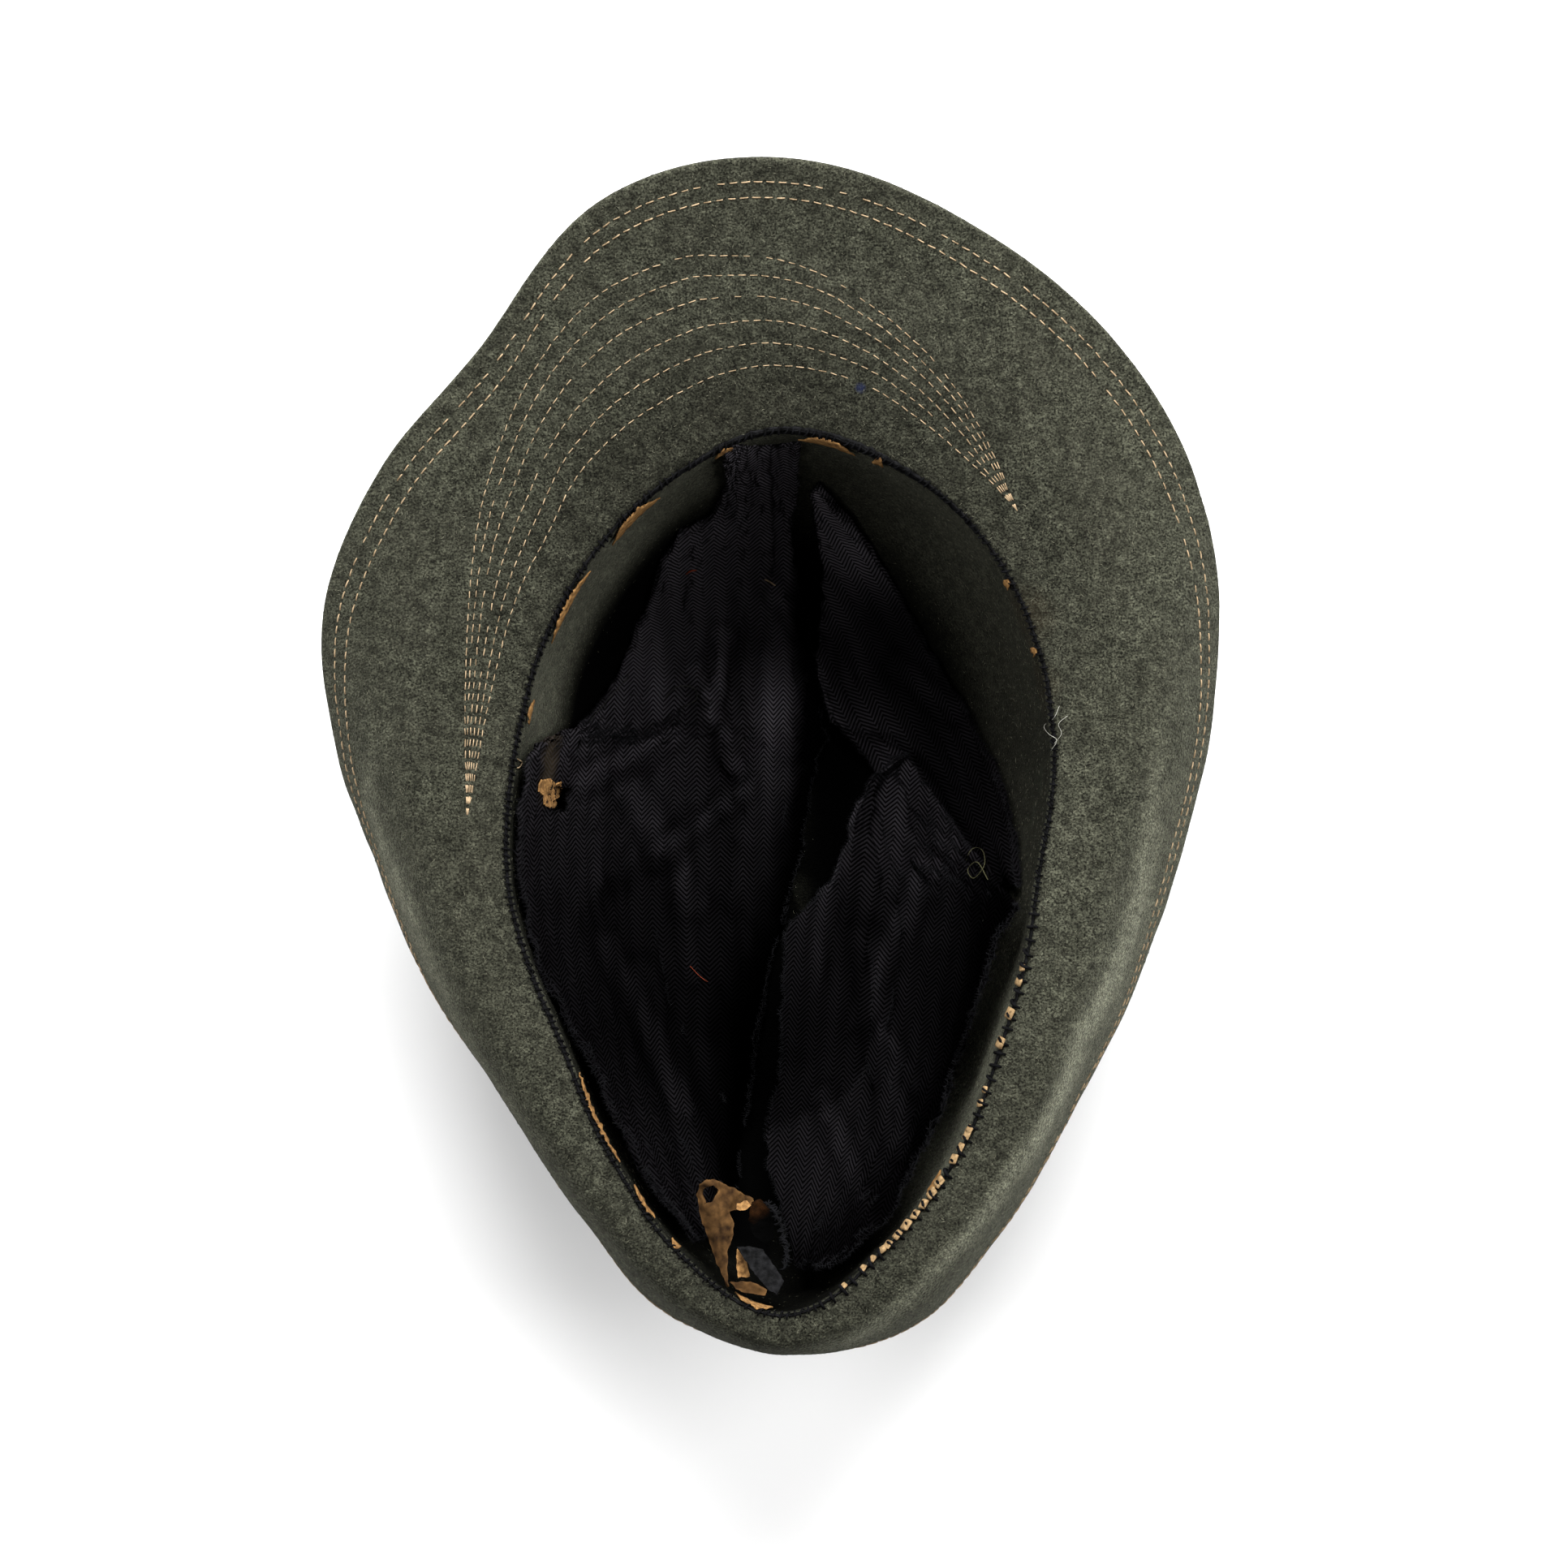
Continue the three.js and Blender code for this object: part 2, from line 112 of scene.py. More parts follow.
def felt_point(degrees, part, t):
    """A point of the felt's seen side, in mm: the inside of the crown and the underside of the brim."""
    a = math.radians(degrees)
    mouth = mouth_at(degrees)
    tip = (abs(math.cos(a) / TIP_WIDE) ** 2.3 + abs(math.sin(a) / TIP_LONG) ** 2.3) ** (-1 / 2.3)
    ring, low, top = tip * TIP_FLAT, FELT - SETTLE, CROWN_DEPTH - BREAK
    if part == "tip":
        r, z = ring * t, low
    elif part == "wall":
        r, z = bezier([(ring, low), (tip * 1.06, low), (mouth - 4, top * 0.55), (mouth - 1.5, top)], t)
    elif part == "break":
        corner = (mouth - 0.4, CROWN_DEPTH - 0.6)
        r, z = bezier([(mouth - 1.5, top), corner, corner, (mouth + BREAK, CROWN_DEPTH + 0.5)], t)
    else:
        start, roll = (BREAK, 0.5), (roll_at(degrees), crest_at(degrees))
        edge = (reach_at(degrees), lift_at(degrees))
        near = lambda p: [v + BRIM_GRIP * (w - v) for v, w in zip(p, roll)]
        r, z = bezier([start, near(start), near(edge), edge], t)
        r, z = mouth + r, CROWN_DEPTH + z
    x, y = r * math.cos(a), r * math.sin(a)
    if part in ("tip", "wall"):
        along = 1 - smooth_step(0.35, 0.95, abs(y) / TIP_LONG)
        fade = 1 - smooth_step(0, 0.5, z / CROWN_DEPTH)
        z = max(FELT, z + CREASE_DEPTH * math.exp(-((x / CREASE_HALF) ** 2)) * along * fade)
    return Vector((CROWN_AXIS[0] + x, CROWN_AXIS[1] + y, z))


def from_axis(p):
    """Where a point in the row frame lies from the crown's axis, in plan."""
    return Vector((p.x - CROWN_AXIS[0], p.y - CROWN_AXIS[1]))


def on_axis(x, y, z=0):
    """A place in mm counted from the crown's axis, in the row frame."""
    return Vector((CROWN_AXIS[0] + x, CROWN_AXIS[1] + y, z))


# Meshes

def placed(name, data):
    """A new object in the scene, unturned at the origin."""
    thing = bpy.data.objects.new(name, data)
    bpy.context.scene.collection.objects.link(thing)
    return thing


def evaluated(thing, name):
    """A new smooth-shaded mesh of an object with its modifiers applied."""
    bpy.context.view_layer.update()
    mesh = bpy.data.meshes.new_from_object(thing.evaluated_get(bpy.context.evaluated_depsgraph_get()))
    mesh.name = name
    mesh.polygons.foreach_set("use_smooth", [True] * len(mesh.polygons))
    return mesh


def make_mesh(name, points, faces, material, smooth=True):
    """A mesh object from points in mm."""
    mesh = bpy.data.meshes.new(name)
    mesh.from_pydata([Vector(p) * MM for p in points], [], faces)
    mesh.materials.append(material)
    mesh.polygons.foreach_set("use_smooth", [smooth] * len(faces))
    mesh.update()
    return placed(name, mesh)


def grid_normals(rows, closed):
    """Normals of a grid of points, right for a grid whose rows run outwards and columns run anticlockwise."""
    g = np.array([[tuple(p) for p in row] for row in rows])
    along = np.gradient(g, axis=0)
    across = np.roll(g, -1, 1) - np.roll(g, 1, 1) if closed else np.gradient(g, axis=1)
    n = np.cross(along, across)
    return g, n / np.linalg.norm(n, axis=2, keepdims=True)


def sheet(rows, thickness, closed=False):
    """A closed sheet behind a grid of seen points, as (points, faces)."""
    g, n = grid_normals(rows, closed)
    last, columns = g.shape[0] - 1, g.shape[1]
    back = g.shape[0] * columns
    points = [Vector(p) for p in np.concatenate([g.reshape(-1, 3), (g - n * thickness).reshape(-1, 3)])]
    at = lambda i, j: i * columns + j % columns
    span = range(columns if closed else columns - 1)
    faces = []
    for i in range(last):
        for j in span:
            cell = (at(i, j), at(i + 1, j), at(i + 1, j + 1), at(i, j + 1))
            faces += [cell, tuple(back + k for k in reversed(cell))]
    borders = [(at(0, j), at(0, j + 1)) for j in span] + [(at(last, j + 1), at(last, j)) for j in span]
    if not closed:
        borders += [(at(i + 1, 0), at(i, 0)) for i in range(last)]
        borders += [(at(i, columns - 1), at(i + 1, columns - 1)) for i in range(last)]
    faces += [(a, b, back + b, back + a) for a, b in borders]
    return points, faces


def joined(name, parts, material):
    """One mesh from many small (points, faces) parts."""
    points, faces = [], []
    for p, f in parts:
        start = len(points)
        points.extend(p)
        faces.extend([tuple(i + start for i in face) for face in f])
    return make_mesh(name, points, faces, material)


def tube(path, radius, sides=6, taper=0.6):
    """A closed round strand along a path in mm. Its ends are narrower by taper."""
    n = len(path)
    side = None
    points, faces = [], []
    for i, p in enumerate(path):
        tangent = (Vector(path[min(i + 1, n - 1)]) - Vector(path[max(i - 1, 0)])).normalized()
        if side is None:
            side = tangent.orthogonal().normalized()
        side = (side - tangent * side.dot(tangent)).normalized()
        other = tangent.cross(side)
        r = radius * (taper if i in (0, n - 1) else 1)
        for k in range(sides):
            a = 2 * math.pi * k / sides
            points.append(Vector(p) + (side * math.cos(a) + other * math.sin(a)) * r)
    for i in range(n - 1):
        for k in range(sides):
            a, b = i * sides + k, i * sides + (k + 1) % sides
            faces.append((a, b, b + sides, a + sides))
    faces.append(tuple(reversed(range(sides))))
    faces.append(tuple((n - 1) * sides + k for k in range(sides)))
    return points, faces


# Materials

def colour(hexes):
    """An sRGB hex colour as linear RGBA."""
    parts = [int(hexes[i:i + 2], 16) / 255 for i in (1, 3, 5)]
    return [v / 12.92 if v <= 0.04045 else ((v + 0.055) / 1.055) ** 2.4 for v in parts] + [1]


def add(tree, kind, settings=(), **links):
    """Adds a node with settings, its properties or socket values, and links by socket name or _number."""
    node = tree.nodes.new(kind)
    for key, value in dict(settings).items():
        if hasattr(node, key) and key not in node.inputs:
            setattr(node, key, value)
        else:
            node.inputs[key].default_value = value
    for key, source in links.items():
        socket = node.inputs[int(key[1:])] if key[0] == "_" else node.inputs[key]
        if isinstance(source, (tuple, float, int)):
            socket.default_value = source
        else:
            tree.links.new(source, socket)
    return node


def new_material(name, roughness, specular):
    """A new material, its node tree and its shader."""
    material = bpy.data.materials.new(name)
    material.use_nodes = True
    tree = material.node_tree
    shader = tree.nodes["Principled BSDF"]
    shader.inputs["Roughness"].default_value = roughness
    shader.inputs["Specular IOR Level"].default_value = specular
    return material, tree, shader


def maths(tree, operation, a, b=None):
    """The result of a math node on one or two sockets or numbers."""
    second = {} if b is None else {"_1": b}
    return add(tree, "ShaderNodeMath", {"operation": operation}, _0=a, **second).outputs[0]


def ranged(tree, value, span):
    """A value moved from one range to another. The ends that span leaves out are 0 and 1."""
    return add(tree, "ShaderNodeMapRange", span, Value=value).outputs["Result"]


def attribute(tree, name, output="Fac"):
    return add(tree, "ShaderNodeAttribute", {"attribute_name": name}).outputs[output]


def embossed(tree, shader, height, strength, deep_mm):
    """Bumps the surface by a height socket."""
    bump = add(tree, "ShaderNodeBump", {"Strength": strength, "Distance": deep_mm * MM}, Height=height)
    tree.links.new(bump.outputs["Normal"], shader.inputs["Normal"])


def noise_between(tree, scale_mm, low, high, detail=2.0, stretch=None):
    """Noise of a real size over the object, from 0 at low to 1 at high."""
    place = add(tree, "ShaderNodeTexCoord").outputs["Object"]
    if stretch:
        place = add(tree, "ShaderNodeMapping", {"Scale": stretch}, Vector=place).outputs["Vector"]
    wave = add(tree, "ShaderNodeTexNoise", {"Scale": 1 / (scale_mm * MM), "Detail": detail}, Vector=place)
    return ranged(tree, wave.outputs["Fac"], {"From Min": low, "From Max": high})


def blend(tree, factor, a, b):
    """Mixes two colours, each a hex or a socket, by a socket."""
    mix = add(tree, "ShaderNodeMix", {"data_type": "RGBA"}, _0=factor)
    for index, value in ((6, a), (7, b)):
        if isinstance(value, str):
            mix.inputs[index].default_value = colour(value)
        else:
            tree.links.new(value, mix.inputs[index])
    return mix.outputs[2]


def spot(tree, centre, radius):
    """1 within 0.4 of the radius of a place in mm, falling to 0 at the radius."""
    place = add(tree, "ShaderNodeTexCoord").outputs["Object"]
    away = add(tree, "ShaderNodeVectorMath", {"operation": "DISTANCE"}, _0=place)
    away.inputs[1].default_value = Vector(on_axis(*centre)) * MM
    return ranged(tree, away.outputs["Value"], {"From Min": radius * MM, "From Max": radius * MM * 0.4})


def scaled(tree, base, factor):
    """A colour or a grey times another grey."""
    factor = (factor,) * 3 if isinstance(factor, float) else factor
    return add(tree, "ShaderNodeVectorMath", {"operation": "MULTIPLY"}, _0=base, _1=factor).outputs["Vector"]


def stained(tree, base, stains):
    """A colour with round stains, each a place in mm from the crown's axis, a radius and a hex."""
    for centre, radius, hexes in stains:
        base = blend(tree, scaled(tree, spot(tree, centre, radius), 0.6), base, hexes)
    return base


def felt_material():
    # Pressed wool felt: a salt-and-pepper mottle of dark and pale fibres, matted and rough, with old stains.
    # A per-point attribute darkens it inside the crown, for dirt and painted shade, and paints shade round
    # the brim and by the mouth in front, and a painted highlight where the brim is rolled.
    material, tree, shader = new_material("grey_green_wool_felt", 0.95, 0.02)
    upright = (1, 1, 0.45)
    base = blend(tree, noise_between(tree, 0.5, 0.36, 0.66, 4, upright), "#090907", "#494a3e")
    strands = noise_between(tree, 1.5, 0.42, 0.62, 6, upright)
    base = blend(tree, scaled(tree, strands, 0.5), base, "#151511")
    patches = noise_between(tree, 17, 0.35, 0.7, 3)
    base = stained(tree, blend(tree, scaled(tree, patches, 0.25), base, "#2e2d26"), STAINS)
    mottle = noise_between(tree, 3.2, 0.3, 0.7, 5, upright)
    base = scaled(tree, base, ranged(tree, mottle, {"To Min": 0.55, "To Max": 1.45}))
    tone = attribute(tree, "tone")
    tree.links.new(scaled(tree, base, tone), shader.inputs["Base Color"])
    tree.links.new(maths(tree, "MULTIPLY", tone, 0.2), shader.inputs["Sheen Weight"])
    shader.inputs["Sheen Roughness"].default_value = 0.5
    shader.inputs["Sheen Tint"].default_value = colour("#a4a593")
    embossed(tree, shader, noise_between(tree, 0.7, 0.3, 0.7, 5), 1.0, 0.35)
    return material


def lining_material():
    # Black herringbone cotton: a fine zigzag weave that shows as a faint ribbing, grey dust in patches, and
    # painted light and shade.
    material, tree, shader = new_material("black_herringbone_cotton", 0.7, 0.0)
    split = add(tree, "ShaderNodeSeparateXYZ", {}, Vector=attribute(tree, "weave", "Vector")).outputs
    zigzag = maths(tree, "PINGPONG", split["X"], WEAVE_COLUMN * MM)
    slant = maths(tree, "ADD", split["Y"], zigzag)
    rib = maths(tree, "SINE", maths(tree, "MULTIPLY", slant, 2 * math.pi / (RIB_PITCH * MM)))
    rib = ranged(tree, rib, {"From Min": -1.0})
    cloth = blend(tree, rib, "#010101", "#2b292c")
    cloth = stained(tree, blend(tree, noise_between(tree, 6, 0.62, 0.95, 4), cloth, "#1d1d1f"), CLOTH_STAINS)
    column = maths(tree, "SINE", maths(tree, "MULTIPLY", split["X"], math.pi / (WEAVE_COLUMN * MM)))
    cloth = scaled(tree, cloth, ranged(tree, column, {"From Min": -1.0, "To Min": 0.9, "To Max": 1.1}))
    tree.links.new(scaled(tree, cloth, attribute(tree, "tone")), shader.inputs["Base Color"])
    embossed(tree, shader, rib, 0.6, 0.2)
    return material


def leather_material(name, dark, light, grain_mm, roughness):
    material, tree, shader = new_material(name, roughness, 0.03)
    # The shade attribute darkens a scrap where it turns away, and below zero it pales a torn rim.
    grain = noise_between(tree, grain_mm, 0.3, 0.7, 5)
    lit = ranged(tree, attribute(tree, "shade"), {"From Min": -1.0, "To Min": 2.0, "To Max": 0.0})
    tree.links.new(scaled(tree, blend(tree, grain, dark, light), lit), shader.inputs["Base Color"])
    embossed(tree, shader, grain, 0.7, 0.2)
    return material


def thread_material(name, dark, light):
    # Twisted sewing thread, paler where it stands out.
    material, tree, shader = new_material(name, 0.8, 0.04)
    tree.links.new(blend(tree, noise_between(tree, 1.5, 0.3, 0.7), dark, light), shader.inputs["Base Color"])
    return material


# Stains on the felt: place from the crown's axis, radius and colour. Ink first, then brown and greenish ones.
STAINS = [
    ((19, 118.7, 110), 1.6, "#1c2548"), ((61, 63, 100), 12, "#2a2114"), ((65, 46, 100), 10, "#2a2114"),
    ((64.7, 22.4, 87), 5, "#343b30"), ((63, 13, 77), 4, "#343b30"),
]

# Brown stains on the lining's left edge, as above.
CLOTH_STAINS = [((-58, 26, 74), 12, "#332c22"), ((-50, 40, 74), 7, "#2a251e")]

felt = felt_material()
cotton = lining_material()
# The band's grain side: black, worn and dull.
black_leather = leather_material("black_grain_leather", "#020202", "#151516", 1.5, 0.6)
# Its torn flesh side: tan and fibrous.
tan_leather = leather_material("torn_tan_leather", "#4a3420", "#8a683f", 1.1, 0.9)
# The same, dusty where it bulges between the stitches.
pale_leather = leather_material("dusty_tan_leather", "#54432e", "#957c5a", 1.1, 0.9)
# The same flesh side, older and darker where it hangs free.
aged_leather = leather_material("aged_tan_leather", "#1c120a", "#49341d", 2.6, 0.9)
rust_leather = leather_material("rusty_brown_leather", "#120903", "#331d0c", 1.8, 0.9)
tan_thread = thread_material("tan_cotton_thread", "#62533f", "#a18c70")
black_thread = thread_material("black_linen_thread", "#030303", "#0d0d0f")
white_thread = thread_material("white_loose_thread", "#6f6e66", "#a3a298")
pale_wool = thread_material("pale_wool_fibre", "#3d3c31", "#757463")
cotton_fray = thread_material("black_cotton_fray", "#070708", "#161618")
grey_thread = thread_material("grey_loose_thread", "#161614", "#2b2b27")
rust_thread = thread_material("rust_red_fibre", "#4a2014", "#6e3020")
dark_wool = thread_material("dark_wool_fibre", "#0b0b08", "#22221a")
olive_thread = thread_material("olive_loose_thread", "#2c2b1f", "#45432f")


# Felt body

STATIONS = [("tip", 12), ("wall", 30), ("break", 8), ("brim", 44)]
ROUND = 300


def wavy(p, normal):
    """Old felt is never quite even: slow swells and small dents, in mm along the normal."""
    slow = noise.noise(p / 38) * 0.9
    small = noise.noise(p / 9 + Vector((7, 3, 1))) * 0.22
    rest = smooth_step(FELT + 0.5, 22, p.z)
    return p + normal * (slow + small) * rest


# A painted highlight along the rolled brim: angle round the crown, radius of the roll there in mm and
# strength.
ROLL_HIGHLIGHTS = [
    (-88, 121, 0.2), (-80.5, 117, 2.2), (-69, 105, 2.4), (-54, 94, 2.4), (-28, 84.5, 2), (3, 90, 1.2),
    (25, 100, 0), (160, 106, 0), (170, 105, 0.9), (181, 96.5, 1.5), (198, 89, 0.8), (225, 90, 0.3),
    (250, 108, 0),
]
# Painted shade round the brim, as a factor by angle: darkest at the back.
BRIM_SHADE = [(-92, 0.55), (-60, 0.74), (-10, 1), (60, 0.9), (108, 0.78), (180, 0.8), (235, 0.76), (268, 0.55)]

# How much of the felt's colour is left on the walls inside, where dirt and shade take it.
WALLS = [
    (-92, 0.02), (-84, 0.03), (-72, 0.12), (-64, 0.8), (-34, 0.8), (-20, 0.3), (0, 0.18), (30, 0.2),
    (57, 0.5), (90, 0.6), (108, 0.7), (118, 0.95), (148, 1.0), (156, 0.5), (162, 0.1), (215, 0.1),
    (250, 0.14), (262, 0.04), (268, 0.02),
]


def along_table(table, where, column):
    """A column of a table between its rows, by the first column."""
    rows = np.array(table).T
    return float(np.interp(where, rows[0], rows[column]))


def felt_tone(degrees, part, t, height):
    """How light the felt is painted: dirt and painted shade inside, painted shade in front by the mouth,
    painted highlight at the roll.
    """
    turn = (degrees + 92) % 360 - 92
    ahead = max(0.0, math.sin(math.radians(degrees))) ** 2
    right = smooth_step(110, 80, turn) if turn > 0 else 1.0
    if part == "brim":
        radius = math.hypot(*(felt_point(degrees, part, t).xy - Vector(CROWN_AXIS)))
        # A painted highlight on the roll, and a weaker painted highlight outside it.
        away = (radius - along_table(ROLL_HIGHLIGHTS, turn, 1)) / 2.6
        roll_highlight = along_table(ROLL_HIGHLIGHTS, turn, 2) * math.exp(-away * away)
        outer = 0.16 * along_table(ROLL_HIGHLIGHTS, turn, 2) * smooth_step(0, 1.5, away)
        brim_shade = along_table(BRIM_SHADE, turn, 1)
        return brim_shade * (1 - ahead * 0.42 * (1 - smooth_step(0.05, 0.6, t))) * (1 + roll_highlight + outer)
    if part == "break":
        return (1 - 0.42 * ahead - 0.15 * (1 - t)) * along_table(BRIM_SHADE, turn, 1)
    # Inside: dirt and painted shade by angle, and painted shade that deepens down the walls.
    light = along_table(WALLS, turn, 1)
    fall = smooth_step(12, 46, height) * right + smooth_step(42, 68, height) * (1 - right)
    return light * fall


def build_felt():
    stations = [(part, (i + 1) / steps) for part, steps in STATIONS for i in range(steps)]
    rows = [[felt_point(360 * j / ROUND, part, t) for j in range(ROUND)] for part, t in stations]
    g, n = grid_normals(rows, True)
    # The seen side is made wavy, and the felt's thickness is laid behind it.
    rows = [[wavy(Vector(g[i, j]), Vector(n[i, j])) for j in range(ROUND)] for i in range(len(rows))]
    g, n = grid_normals(rows, True)
    behind = g - n * FELT
    flat = g[:, :, 2] <= FELT + 1e-4
    behind[flat] = g[flat] * (1, 1, 0)
    outward = g[-1] - g[-2]
    outward /= np.linalg.norm(outward, axis=1, keepdims=True)
    rims = []
    for k in range(1, 6):
        a = math.pi * k / 6
        rims.append(g[-1] - n[-1] * FELT / 2 * (1 - math.cos(a)) + outward * FELT * 0.4 * math.sin(a))
    rings = [*g, *rims, *behind[::-1]]
    points = [tuple(p) for ring in rings for p in ring]
    top = felt_point(0, "tip", 0)
    points += [tuple(top), (top.x, top.y, top.z - FELT)]
    at = lambda i, j: i * ROUND + j % ROUND
    cells = [(i, j) for i in range(len(rings) - 1) for j in range(ROUND)]
    faces = [(at(i, j), at(i + 1, j), at(i + 1, j + 1), at(i, j + 1)) for i, j in cells]
    faces += [(len(points) - 2, at(0, j), at(0, j + 1)) for j in range(ROUND)]
    faces += [(at(len(rings) - 1, j), len(points) - 1, at(len(rings) - 1, j + 1)) for j in range(ROUND)]
    body = make_mesh("felt_body_look", points, faces, felt)
    seen = cells[:len(stations) * ROUND]
    tones = [felt_tone(360 * j / ROUND, *stations[i], g[i, j, 2]) for i, j in seen]
    tones += [1.0] * (len(points) - len(tones) - 2) + [0.0, 1.0]
    body.data.attributes.new("tone", "FLOAT", "POINT").data.foreach_set("value", tones)
    return body, g, n


felt_body, felt_grid, felt_normals = build_felt()
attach(felt_body, "root")
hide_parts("felt_body")


def surface_tree(thing):
    mesh = thing.data
    return BVHTree.FromPolygons([v.co.copy() for v in mesh.vertices], [p.vertices[:] for p in mesh.polygons])


felt_surface = surface_tree(felt_body)


def on_felt(x, y):
    """The felt straight below a place counted from the crown's axis, in mm, and its normal."""
    hit, normal, _, _ = felt_surface.ray_cast(on_axis(x, y, 300) * MM, Vector((0, 0, -1)))
    return hit / MM, normal


# Stitches in the felt

def piece_tree(name, sockets):
    """A new node tree for a geometry, a piece, these sockets and a material, and what it is given."""
    tree = bpy.data.node_groups.new(name, "GeometryNodeTree")
    for label, kind in (("Geometry",) * 2, ("Piece", "Object"), *sockets, ("Material",) * 2):
        tree.interface.new_socket(label, in_out="INPUT", socket_type="NodeSocket" + kind)
    tree.interface.new_socket("Geometry", in_out="OUTPUT", socket_type="NodeSocketGeometry")
    return tree, add(tree, "NodeGroupInput").outputs


def random_number(tree, seed, low, high):
    settings = {"data_type": "FLOAT", "Seed": seed}
    return add(tree, "FunctionNodeRandomValue", settings, _2=low, _3=high).outputs[1]


def turned(tree, rotation, about):
    """A rotation turned further about its own axes."""
    local = {"rotation_space": "LOCAL"}
    return add(tree, "FunctionNodeRotateRotation", local, Rotation=rotation, _1=about).outputs["Rotation"]


def pieces_on(tree, given, points, turn, size, **chosen):
    """Ends a tree: the piece stands on the points as real mesh, in its material."""
    shape = add(tree, "GeometryNodeObjectInfo", {}, Object=given["Piece"]).outputs["Geometry"]
    laid = add(tree, "GeometryNodeInstanceOnPoints", {}, Points=points, Instance=shape, Rotation=turn,
               Scale=size, **chosen)
    real = add(tree, "GeometryNodeRealizeInstances", {}, Geometry=laid.outputs["Instances"])
    done = add(tree, "GeometryNodeSetMaterial", {}, Geometry=real.outputs["Geometry"],
               Material=given["Material"])
    add(tree, "NodeGroupOutput", {}, Geometry=done.outputs["Geometry"])
    return tree


def repeat_tree():
    """A node tree that sets a small piece along each edge path, turned to the path and its up attribute."""
    tree, given = piece_tree("repeat_along_path", (("Pitch", "Float"), ("Swing", "Float"), ("Gaps", "Float")))
    curve = add(tree, "GeometryNodeMeshToCurve", {}, Mesh=given["Geometry"]).outputs["Curve"]
    dots = add(tree, "GeometryNodeResampleCurve", {"mode": "LENGTH"}, Curve=curve, Length=given["Pitch"])
    up = add(tree, "GeometryNodeInputNamedAttribute", {"data_type": "FLOAT_VECTOR", "Name": "up"})
    ahead = add(tree, "GeometryNodeInputTangent").outputs["Tangent"]
    turn = add(tree, "FunctionNodeAlignRotationToVector", {"axis": "X"}, Vector=ahead)
    turn = add(tree, "FunctionNodeAlignRotationToVector", {"axis": "Z", "pivot_axis": "X"},
               Rotation=turn.outputs["Rotation"], Vector=up.outputs["Attribute"])
    swing = random_number(tree, 3, maths(tree, "MULTIPLY", given["Swing"], -1), given["Swing"])
    about = add(tree, "ShaderNodeCombineXYZ", {}, Z=swing).outputs["Vector"]
    turn = turned(tree, turn.outputs["Rotation"], about)
    keep = maths(tree, "GREATER_THAN", random_number(tree, 5, 0.0, 1.0), given["Gaps"])
    size = random_number(tree, 8, 0.85, 1.1)
    return pieces_on(tree, given, dots.outputs["Curve"], turn, size, Selection=keep)


def applied(thing, tree, values, name):
    """A plain mesh object with what a node tree makes of an object."""
    modifier = thing.modifiers.new("nodes", "NODES")
    modifier.node_group = tree
    sockets = {item.name: item.identifier for item in tree.interface.items_tree if item.in_out == "INPUT"}
    for label, value in values.items():
        modifier[sockets[label]] = value
    mesh = evaluated(thing, name)
    thing.modifiers.clear()
    return placed(name, mesh)


def scatter_tree():
    """A node tree that lays a small piece all over a surface, flat along it and turned at random."""
    tree, given = piece_tree("scatter_on_surface", (("Per Area", "Float"), ("Seed", "Int")))
    tone = add(tree, "GeometryNodeInputNamedAttribute", {"data_type": "FLOAT", "Name": "tone"})
    dense = maths(tree, "MULTIPLY", given["Per Area"], maths(tree, "SQRT", tone.outputs["Attribute"]))
    dots = add(tree, "GeometryNodeDistributePointsOnFaces", {}, Mesh=given["Geometry"], Density=dense,
               Seed=given["Seed"])
    about = add(tree, "FunctionNodeRandomValue", {"data_type": "FLOAT_VECTOR", "Seed": 2},
                _0=(-0.1, -0.25, -math.pi), _1=(0.1, 0.25, math.pi))
    turn = turned(tree, dots.outputs["Rotation"], about.outputs[0])
    return pieces_on(tree, given, dots.outputs["Points"], turn, random_number(tree, 6, 0.5, 1.2))


REPEAT = repeat_tree()
SCATTER = scatter_tree()


def repeated(name, paths, piece, material, pitch, swing=0.1, gaps=0.04):
    """Copies of a small piece along paths, each a list of (point, up) in mm."""
    points, edges, ups = [], [], []
    for path in paths:
        start = len(points)
        points += [p * MM for p, _ in path]
        ups += [c for _, up in path for c in up]
        edges += [(start + i, start + i + 1) for i in range(len(path) - 1)]
    lines = bpy.data.meshes.new(name + "_paths")
    lines.from_pydata(points, edges, [])
    lines.attributes.new("up", "FLOAT_VECTOR", "POINT").data.foreach_set("vector", ups)
    holder = placed(name + "_paths", lines)
    shape = make_mesh(name + "_piece", *piece, material)
    values = {"Piece": shape, "Pitch": pitch * MM, "Swing": swing, "Gaps": gaps, "Material": material}
    done = applied(holder, REPEAT, values, name)
    bpy.data.objects.remove(holder)
    bpy.data.objects.remove(shape)
    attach(done, "root")


def stitch(length, radius):
    """A short thread along X that dips into the cloth at both ends."""
    heights = ((-0.5, -1.6), (-0.36, 0.5), (0, 0.8), (0.36, 0.5), (0.5, -1.6))
    return tube([Vector((length * a, 0, radius * h)) for a, h in heights], radius, 5, 0.7)


def edge_row(depth):
    """The line on the brim that runs a depth in mm inside its cut edge."""
    path = []
    for j in range(ROUND + 1):
        column = felt_grid[::-1, j % ROUND]
        normals = felt_normals[::-1, j % ROUND]
        gone = 0.0
        for k in range(len(column) - 1):
            step = float(np.linalg.norm(column[k + 1] - column[k]))
            if gone + step >= depth:
                t = (depth - gone) / step
                path.append((Vector(column[k] + (column[k + 1] - column[k]) * t), Vector(normals[k])))
                break
            gone += step
    return path


def fibre(length, radius, bend):
    """A tiny wool fibre that lies along X and is bent sideways, pointed at both ends."""
    ring = [(0, bend + radius * math.cos(a), radius * math.sin(a)) for a in (0.5, 2.6, 4.7)]
    points = [(-length / 2, 0, 0), *ring, (length / 2, 0, 0)]
    faces = [f for k in range(3) for f in ((0, 1 + (k + 1) % 3, 1 + k), (4, 1 + k, 1 + (k + 1) % 3))]
    return points, faces


